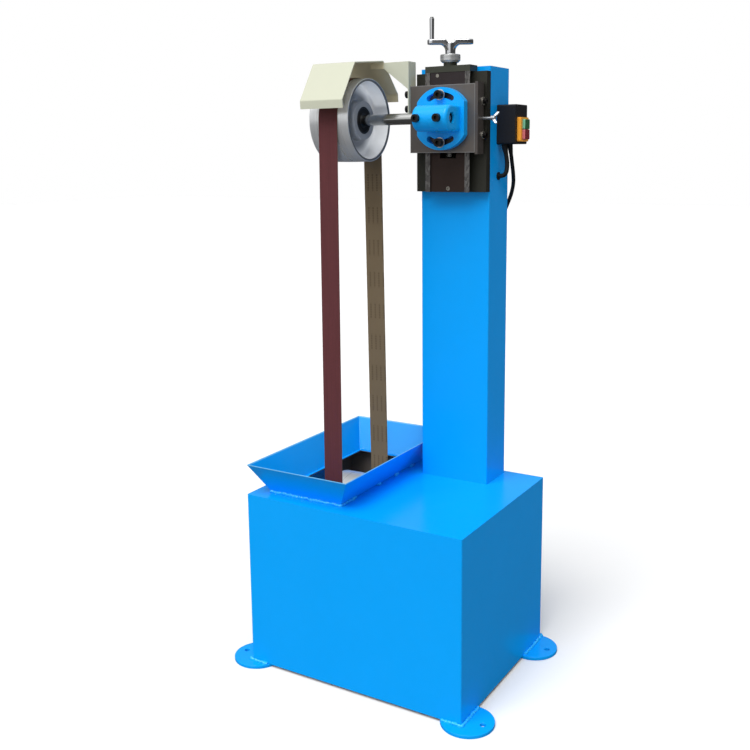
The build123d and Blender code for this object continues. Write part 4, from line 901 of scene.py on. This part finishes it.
def half_loop(axle, reach, other_axle, other_reach, first_angle, last_angle):
    """The path from the cut, round one wheel and back to the cut on the other run."""
    angles = [first_angle + (last_angle - first_angle) * step / arc_steps for step in range(arc_steps + 1)]
    arc = [on_wheel(axle, reach, angle) for angle in angles]
    runs = []
    for angle in (first_angle, last_angle):
        start, outward = on_wheel(axle, reach, angle)
        far_end, outward = on_wheel(other_axle, other_reach, angle)
        cut = start.lerp(far_end, (belt_cut - start.z) / (far_end.z - start.z))
        runs.append([(cut.lerp(start, step / run_steps), outward) for step in range(run_steps)])
    return runs[0] + arc + runs[1][::-1]


upper_path = half_loop(idler_axle, idler_reach, drive_axle, drive_reach, front_angle, rear_angle)
lower_path = half_loop(drive_axle, drive_reach, idler_axle, idler_reach, rear_angle,
                       front_angle - 2 * math.pi)
print("belt path", len(upper_path) + len(lower_path), "points")

# %% [markdown]
# The grit is brown-red corundum in dark glue: it is matt, sparkles a little and shows faint streaks along
# the belt. The cloth's back is olive twill with rows of short printed bars. Both patterns read the UV map,
# which counts metres along and across the belt.


# %% Grit
def make_grit():
    grain_depth = 0.0002
    brown_red = (screen(92, 47, 50), 0.25)
    grain_shades, grain_roughness = (0.75, 1.25), (0.55, 0.85)
    streak_edge, streak_shades = (0.3, 0.7), (0.9, 1.1)
    material, spot = start_material("belt_grit", specular=0.3)
    along = spot.node.outputs["UV"]
    grains = cells(along, scale=1500.0)
    grain_tone = cell_tone(grains)
    streaks = noise(mapped(along, scale=(4.0, 260.0, 1.0)), scale=1.0, detail=3.0)
    shade = times(between(grain_tone, 0.0, 1.0, *grain_shades),
                  between(streaks, *streak_edge, *streak_shades))
    skin = {"Roughness": between(grain_tone, 0.0, 1.0, *grain_roughness), "Height": grains["Distance"]}
    colour = scaled(tone(spot, *brown_red), shade)
    return dress(material, colour, skin, grain_depth)


belt_grit = make_grit()
print("grit", belt_grit.name)


# %% Cloth
def stripes(value, pitch, share):
    """One over a share of each pitch, and zero over the rest."""
    return under(sums("FRACT", sums("DIVIDE", value, pitch)), share)


def make_cloth():
    weave_pitch = 0.0009
    weave_turns = 2 * math.pi / weave_pitch
    block_pitch, bar_pitch, column_pitch, column_start = 0.080, 0.0062, 0.0125, 0.004
    weave_depth, ink = 0.00006, -0.42
    olive = (screen(123, 107, 84), 0.3)
    weave_shades = (0.9, 1.08)
    fibre_edge, fibre_shades = (0.3, 0.7), (0.9, 1.1)
    fluff_edge, fluff_roughness = (0.2, 0.8), (0.75, 0.95)
    material, spot = start_material("belt_cloth", specular=0.2)
    along = spot.node.outputs["UV"]
    axes = split(along)
    warp, weft = [sums("SINE", times(value, weave_turns))
                  for value in (sums("ADD", axes["X"], axes["Y"]), axes["Y"])]
    weave = sums("MULTIPLY_ADD", warp, 0.5, times(weft, 0.5))
    fibres = noise(along, scale=900.0, detail=3.0)
    columns = stripes(sums("ADD", axes["Y"], column_start), column_pitch, share=0.3)
    printed = times(stripes(axes["X"], block_pitch, share=0.5), stripes(axes["X"], bar_pitch, share=0.62),
                    columns)
    shade = times(between(weave, -1.0, 1.0, *weave_shades), between(fibres, *fibre_edge, *fibre_shades),
                  sums("MULTIPLY_ADD", printed, ink, 1.0))
    skin = {"Roughness": between(fibres, *fluff_edge, *fluff_roughness), "Height": weave}
    colour = scaled(tone(spot, *olive), shade)
    return dress(material, colour, skin, weave_depth)


belt_cloth = make_cloth()
print("cloth", belt_cloth.name)

# %% [markdown]
# The slide lifts the belt's top and the swivel tilts it, while the bottom stays on the driven wheel. So the
# belt is built as two strips that meet at the cut halfway up: the lower one round the driven wheel and the
# upper one round the idler. Each row of the table also names the bodies below and above its strip, where it
# would stretch or twist, and its wheel, but this cell only builds the strips.


# %% Belt strips
def keep_mesh(name, mesh):
    """Makes an object of a mesh in work, with its faces pointing outwards."""
    bmesh.ops.recalc_face_normals(mesh, faces=mesh.faces)
    data = bpy.data.meshes.new(name)
    mesh.to_mesh(data)
    mesh.free()
    return add(name, data)


def make_strip(name, path, travelled):
    grit_side, cloth_side = 0, 1
    corners = [(belt_low[0], belt_thickness), (belt_high[0], belt_thickness), (belt_high[0], 0.0),
               (belt_low[0], 0.0)]
    mesh = bmesh.new()
    lengths = mesh.loops.layers.uv.new("belt_uv")

    def add_face(points, travels, material):
        face = mesh.faces.new(points)
        face.material_index = material
        for loop, along in zip(face.loops, travels):
            loop[lengths].uv = (along, loop.vert.co.x - belt_low[0])
        return face

    rows = []
    for index, (spot, outward) in enumerate(path):
        if index:
            travelled += (spot - path[index - 1][0]).length
        row = [mesh.verts.new(spot + outward * lift + Vector((side, 0, 0))) for side, lift in corners]
        rows.append((row, travelled))
    for (row, start), (next_row, end) in zip(rows, rows[1:]):
        for side in range(4):
            around = (side + 1) % 4
            points = (row[side], row[around], next_row[around], next_row[side])
            material = cloth_side if side else grit_side
            add_face(points, (start, start, end, end), material).smooth = True
        for side in range(4):
            mesh.edges.get((row[side], next_row[side])).smooth = False
    for row, along in (rows[0], rows[-1]):
        add_face(row, [along] * 4, cloth_side)
    strip = keep_mesh(name, mesh)
    strip.data.materials.append(belt_grit)
    strip.data.materials.append(belt_cloth)
    return strip, travelled


stretch_start = 0.50
twist_end = 1.20
belt_parts = {"belt_upper": (upper_path, "carriage", "swivel_arm", belt_cut, twist_end, "idler_wheel"),
              "belt_lower": (lower_path, "stand", "carriage", stretch_start, belt_cut, "drive_wheel")}
travelled = 0.0
for name, (path, below, above, start, end, wheel) in belt_parts.items():
    strip, travelled = make_strip(name, path, travelled)
    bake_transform(strip)
    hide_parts("abrasive_belt")

# %% [markdown]
# ## The two leads
# Two rubber leads leave the underside of the switch box: a short one turns straight into the column's side,
# and a longer one goes round the column's rear corner and in at the back. A lead is a fixed length of
# something springy, so its line is a NURBS curve over the same route as its solid: it touches no corner and
# keeps one thickness. A mesh tube would also do, but a curve keeps its true centre line, which is what is
# measured.

# %% Leads
lead_routes = {
    "motor_lead": (0.0052, [(0.201, 0.1785, 1.225), (0.2035, 0.180, 1.2095), (0.2045, 0.178, 1.1935),
                            (0.2035, 0.1748, 1.181), (0.1965, 0.1725, 1.174), (0.1865, 0.1725, 1.174)]),
    "supply_lead": (0.0046, [(0.206, 0.196, 1.225), (0.2055, 0.2045, 1.203), (0.2025, 0.2195, 1.178),
                             (0.197, 0.235, 1.156), (0.1875, 0.246, 1.131), (0.175, 0.2515, 1.105),
                             (0.1635, 0.2535, 1.081), (0.1565, 0.253, 1.066), (0.152, 0.249, 1.0555),
                             (0.150, 0.2415, 1.050), (0.150, 0.2335, 1.050)])}

for name, (radius, points) in lead_routes.items():
    line = bpy.data.curves.new(name + "_line", "CURVE")
    line.dimensions = "3D"
    line.bevel_depth = radius
    line.bevel_resolution = 6
    line.use_fill_caps = True
    spline = line.splines.new("NURBS")
    spline.points.add(len(points) - 1)
    for point, spot in zip(spline.points, points):
        point.co = (*spot, 1.0)
    spline.order_u = 3
    spline.use_endpoint_u = True
    spline.resolution_u = 12
    line.materials.append(moulded["black_rubber"])
    lead = add(name + "_cord", line)
    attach(lead, "stand")
    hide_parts(name)

# %% [markdown]
# ## Growing pieces with Geometry Nodes
# Welds, threads and graduations repeat or follow a path, so a rule makes them better than a hand. Each rule
# is a tree with named sizes. The helper sets the sizes on the modifier before anything is evaluated, keeps
# the result as a plain mesh, and takes the modifier away.


# %% Growing helper
def start_tree(name, sizes):
    """A tree with a geometry input, named sizes and a material."""
    tree = bpy.data.node_groups.new(name, "GeometryNodeTree")
    add_sockets(tree, "INPUT", {"Geometry": "Geometry", **sizes, "Material": "Material"})
    add_sockets(tree, "OUTPUT", {"Geometry": "Geometry"})
    return tree, place(tree, "NodeGroupInput").outputs


def shaped(tree, kind, inputs, **settings):
    """Places one of Geometry Nodes' own nodes and hands on its shape."""
    return place(tree, "GeometryNode" + kind, inputs, **settings).outputs[0]


def end_tree(tree, given, geometry):
    smooth = shaped(tree, "SetShadeSmooth", {"Geometry": geometry})
    whole = shaped(tree, "RealizeInstances", {0: smooth})
    painted = shaped(tree, "SetMaterial", {"Geometry": whole, "Material": given["Material"]})
    place(tree, "NodeGroupOutput", {0: painted})


def grow(name, tree, sizes, points=(), edges=()):
    """Runs a tree on a line of points, or on nothing, and keeps the result as a plain mesh."""
    base = bpy.data.meshes.new(name + "_base")
    base.from_pydata(points, edges, [])
    piece = add(name, base)
    rule = piece.modifiers.new("rule", "NODES")
    rule.node_group = tree
    for socket in tree.interface.items_tree:
        if socket.in_out == "INPUT" and socket.name in sizes:
            rule[socket.identifier] = sizes[socket.name]
    ready = piece.evaluated_get(bpy.context.evaluated_depsgraph_get())
    mesh = bpy.data.meshes.new_from_object(ready)
    piece.modifiers.remove(rule)
    piece.data = mesh
    mesh.name = name
    print(name, len(mesh.polygons), "faces")
    return piece


print("growing helper ready")

# %% [markdown]
# ## Weld beads
# The stand is welded by hand: a lumpy bead along the tray's front edge and a little way round its corner,
# single tacks further back, and short beads where the cabinet stands on its feet. A bead is a row of small
# frozen puddles, so the tree sweeps a round section along the seam, lets it swell at every puddle, and
# pushes the surface about with noise.


# %% Weld rule
def make_weld_tree():
    puddle_steps, waist, lump_scale = 6.0, 0.78, 130.0
    tree, given = start_tree("weld_bead", {"Width": 0.006, "Puddle": 0.005, "Lumps": 0.002, "Seed": 0.0})
    seam = shaped(tree, "MeshToCurve", {"Mesh": given["Geometry"]})
    step = sums("DIVIDE", given["Puddle"], puddle_steps)
    fine = shaped(tree, "ResampleCurve", {"Curve": seam, "Length": step}, mode="LENGTH")
    along = place(tree, "GeometryNodeSplineParameter").outputs["Length"]
    phase = times(sums("DIVIDE", along, given["Puddle"]), math.pi)
    swell = between(sums("ABSOLUTE", sums("SINE", phase)), 0.0, 1.0, waist, 1.0)
    radius = times(given["Width"], 0.5)
    section = shaped(tree, "CurvePrimitiveCircle", {"Resolution": 10, "Radius": radius})
    bead = shaped(tree, "CurveToMesh", {"Curve": fine, "Profile Curve": section, "Scale": swell,
                                        "Fill Caps": True})
    spot = place(tree, "GeometryNodeInputPosition").outputs[0]
    push = place(tree, "ShaderNodeTexNoise", {"Vector": spot, "W": given["Seed"], "Scale": lump_scale,
                                              "Detail": 2.0}, noise_dimensions="4D").outputs["Color"]
    centred = vectors("SUBTRACT", push, (0.5, 0.5, 0.5))[0]
    lumpy = shaped(tree, "SetPosition", {"Geometry": bead, "Offset": scaled(centred, given["Lumps"])})
    end_tree(tree, given, lumpy)
    return tree


weld_tree = make_weld_tree()
print("weld rule", len(weld_tree.nodes), "nodes")

# %% Seams
weld_width = 0.0075
puddle_length = 0.008
lump_size = 0.008
tray_rise, foot_rise, bead_out = 0.3, 0.2, 0.4
tray_floor = {"left": -0.243, "right": -0.046, "front": -0.173}
corner_run = 0.062
tack_length = 0.016
tack_starts = (-0.012, 0.072, 0.152)
foot_radius = 0.060
foot_margin = 0.006
cabinet_low, cabinet_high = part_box("cabinet_shell")
foot_low, foot_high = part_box("foot_plates")
seam_z = cabinet_high[2] + weld_width * tray_rise
foot_seam_z = foot_high[2] + weld_width * foot_rise
seam_out = weld_width * bead_out
front_seam_y = tray_floor["front"] - seam_out
side_seam_x = tray_floor["right"] + seam_out

seams = {"tray_weld": [[(tray_floor["left"], front_seam_y, seam_z), (side_seam_x, front_seam_y, seam_z),
                        (side_seam_x, tray_floor["front"] + corner_run, seam_z)]],
         "tray_tacks": [[(side_seam_x, start, seam_z), (side_seam_x, start + tack_length, seam_z)]
                        for start in tack_starts],
         "foot_welds": []}
for side_x in (cabinet_low[0], cabinet_high[0]):
    for side_y, foot_y in ((cabinet_low[1], foot_low[1] + foot_radius),
                           (cabinet_high[1], foot_high[1] - foot_radius)):
        wall_x = side_x + math.copysign(seam_out, side_x)
        wall_y = side_y + math.copysign(seam_out, side_y)
        wall_reach = math.sqrt(foot_radius ** 2 - (side_y - foot_y) ** 2) - foot_margin
        side_reach = foot_radius - foot_margin
        seams["foot_welds"].append([(side_x - math.copysign(wall_reach, side_x), wall_y, foot_seam_z),
                                    (wall_x, wall_y, foot_seam_z),
                                    (wall_x, foot_y - math.copysign(side_reach, side_y), foot_seam_z)])
print("seams", {name: len(lines) for name, lines in seams.items()})

# %% Welds on the stand
for seed, (name, lines) in enumerate(seams.items()):
    points = []
    edges = []
    for line in lines:
        edges += [(step, step + 1) for step in range(len(points), len(points) + len(line) - 1)]
        points += line
    bead = grow(name, weld_tree, {"Width": weld_width, "Puddle": puddle_length, "Lumps": lump_size,
                                  "Seed": float(seed), "Material": weld_enamel}, points, edges)
    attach(bead, "stand")

# %% [markdown]
# ## The feed screw's thread
# The crank turns a screw that lifts the carriage, with a trapezoidal thread of 5 mm pitch. Its end shows
# below the carriage. The thread follows a helix, so the tree sweeps a trapezoid along a spiral. The plain
# core is turned from a profile in mesh code, as on a lathe.


# %% Lathe helper
lathe_steps = 40


def spun(name, profile, centre):
    """A closed shape, spun from points (radius, height) that start and end on the axis."""
    mesh = bmesh.new()
    rings = []
    for radius, rise in profile:
        turns = [2 * math.pi * step / lathe_steps for step in range(lathe_steps if radius > 0 else 1)]
        rings.append([mesh.verts.new((centre[0] + radius * math.cos(turn),
                                      centre[1] + radius * math.sin(turn), rise)) for turn in turns])
    for ring, above in zip(rings, rings[1:]):
        for step in range(lathe_steps):
            here = [ring[step % len(ring)], ring[(step + 1) % len(ring)]]
            there = [above[(step + 1) % len(above)], above[step % len(above)]]
            face = mesh.faces.new(list(dict.fromkeys(here + there)))
            face.smooth = True
    return keep_mesh(name, mesh)


print("lathe steps", lathe_steps)


# %% Thread rule
def make_thread_tree():
    crest_share, root_share = 0.36, 0.9
    tree, given = start_tree("screw_thread", {"Pitch": 0.005, "Length": 0.1, "Root": 0.0075, "Depth": 0.0015,
                                              "Foot": "Vector"})
    turns = sums("DIVIDE", given["Length"], given["Pitch"])
    helix = shaped(tree, "CurveSpiral", {"Resolution": 36, "Rotations": turns, "Start Radius": given["Root"],
                                         "End Radius": given["Root"], "Height": given["Length"]})
    upright_helix = shaped(tree, "SetCurveNormal", {"Curve": helix}, mode="Z_UP")
    section = shaped(tree, "CurvePrimitiveQuadrilateral",
                     {"Height": times(given["Depth"], 2.0), "Offset": 0.0,
                      "Bottom Width": times(given["Pitch"], crest_share),
                      "Top Width": times(given["Pitch"], root_share)}, mode="TRAPEZOID")
    ridge = shaped(tree, "CurveToMesh", {"Curve": upright_helix, "Profile Curve": section, "Fill Caps": True})
    end_tree(tree, given, shaped(tree, "SetPosition", {"Geometry": ridge, "Offset": given["Foot"]}))
    return tree


thread_tree = make_thread_tree()
print("thread rule", len(thread_tree.nodes), "nodes")

# %% Feed screw
screw_low, screw_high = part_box("feed_screw")
dial_low, dial_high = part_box("dial_collar")
screw_centre = joints["feed_screw_turn"]["pos_m"]
collar_play = 0.0003
collar_height = 0.007
collar_radius = (screw_high[0] - screw_low[0]) / 2
collar_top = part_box("slide_base")[1][2] - collar_play
collar_bottom = collar_top - collar_height
journal_radius = 0.007
spindle_radius = 0.006
thread_root = 0.0076
thread_depth = 0.0013
thread_start = 0.003
thread_ends = 0.008
chamfer = 0.001

core = spun("feed_screw_core", [
    (0, screw_low[2]), (thread_root - chamfer, screw_low[2]), (thread_root, screw_low[2] + chamfer),
    (thread_root, collar_bottom), (collar_radius, collar_bottom), (collar_radius, collar_top),
    (journal_radius, collar_top), (journal_radius, dial_low[2]), (spindle_radius, dial_low[2]),
    (spindle_radius, screw_high[2]), (0, screw_high[2])], screw_centre)
core.data.materials.append(metals["bright_steel"])
thread = grow("feed_screw_thread", thread_tree,
              {"Length": collar_bottom - screw_low[2] - thread_ends, "Root": thread_root,
               "Depth": thread_depth, "Material": metals["bright_steel"],
               "Foot": (screw_centre[0], screw_centre[1], screw_low[2] + thread_start)})
for piece in (core, thread):
    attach(piece, "feed_screw")
    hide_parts("feed_screw")

# %% [markdown]
# ## The dial's graduations
# A collar under the crank is divided, so that a turn of the screw can be read in tenths of a millimetre:
# fifty short lines, every fifth one longer, cut by a graver and filled with black. Fifty equal marks on a
# circle are a job for instances.


# %% Graduation rule
def make_graduation_tree():
    long_every = 5.0
    tree, given = start_tree("graduations", {"Count": 50, "Radius": 0.02, "Short": 0.004, "Long": 0.007,
                                             "Width": 0.0004, "Depth": 0.0002, "Centre": "Vector"})
    ring = shaped(tree, "MeshCircle", {"Vertices": given["Count"], "Radius": given["Radius"]})
    index = place(tree, "GeometryNodeInputIndex").outputs[0]
    turn = sums("DIVIDE", times(index, 2 * math.pi), given["Count"])
    fifth = under(sums("MODULO", index, long_every), 0.5)
    reach = between(fifth, 0.0, 1.0, given["Short"], given["Long"])
    half_up = joined(Z=times(reach, 0.5))
    raised = shaped(tree, "SetPosition", {"Geometry": ring, "Offset": half_up})
    mark = shaped(tree, "MeshCube", {"Size": (1.0, 1.0, 1.0)})
    size = joined(X=given["Depth"], Y=given["Width"], Z=reach)
    marks = shaped(tree, "InstanceOnPoints", {"Points": raised, "Instance": mark, "Scale": size,
                                              "Rotation": joined(Z=turn)})
    end_tree(tree, given, shaped(tree, "Transform", {"Geometry": marks, "Translation": given["Centre"]}))
    return tree


graduation_tree = make_graduation_tree()
print("graduation rule", len(graduation_tree.nodes), "nodes")

# %% Dial marks
mark_sunk = 0.00005
mark_foot = 0.0095
dial_radius = (dial_high[0] - dial_low[0]) / 2
dial_marks = grow("dial_marks", graduation_tree,
                  {"Radius": dial_radius - mark_sunk, "Material": moulded["black_plastic"],
                   "Centre": (screw_centre[0], screw_centre[1], dial_low[2] + mark_foot)})
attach(dial_marks, "feed_screw")
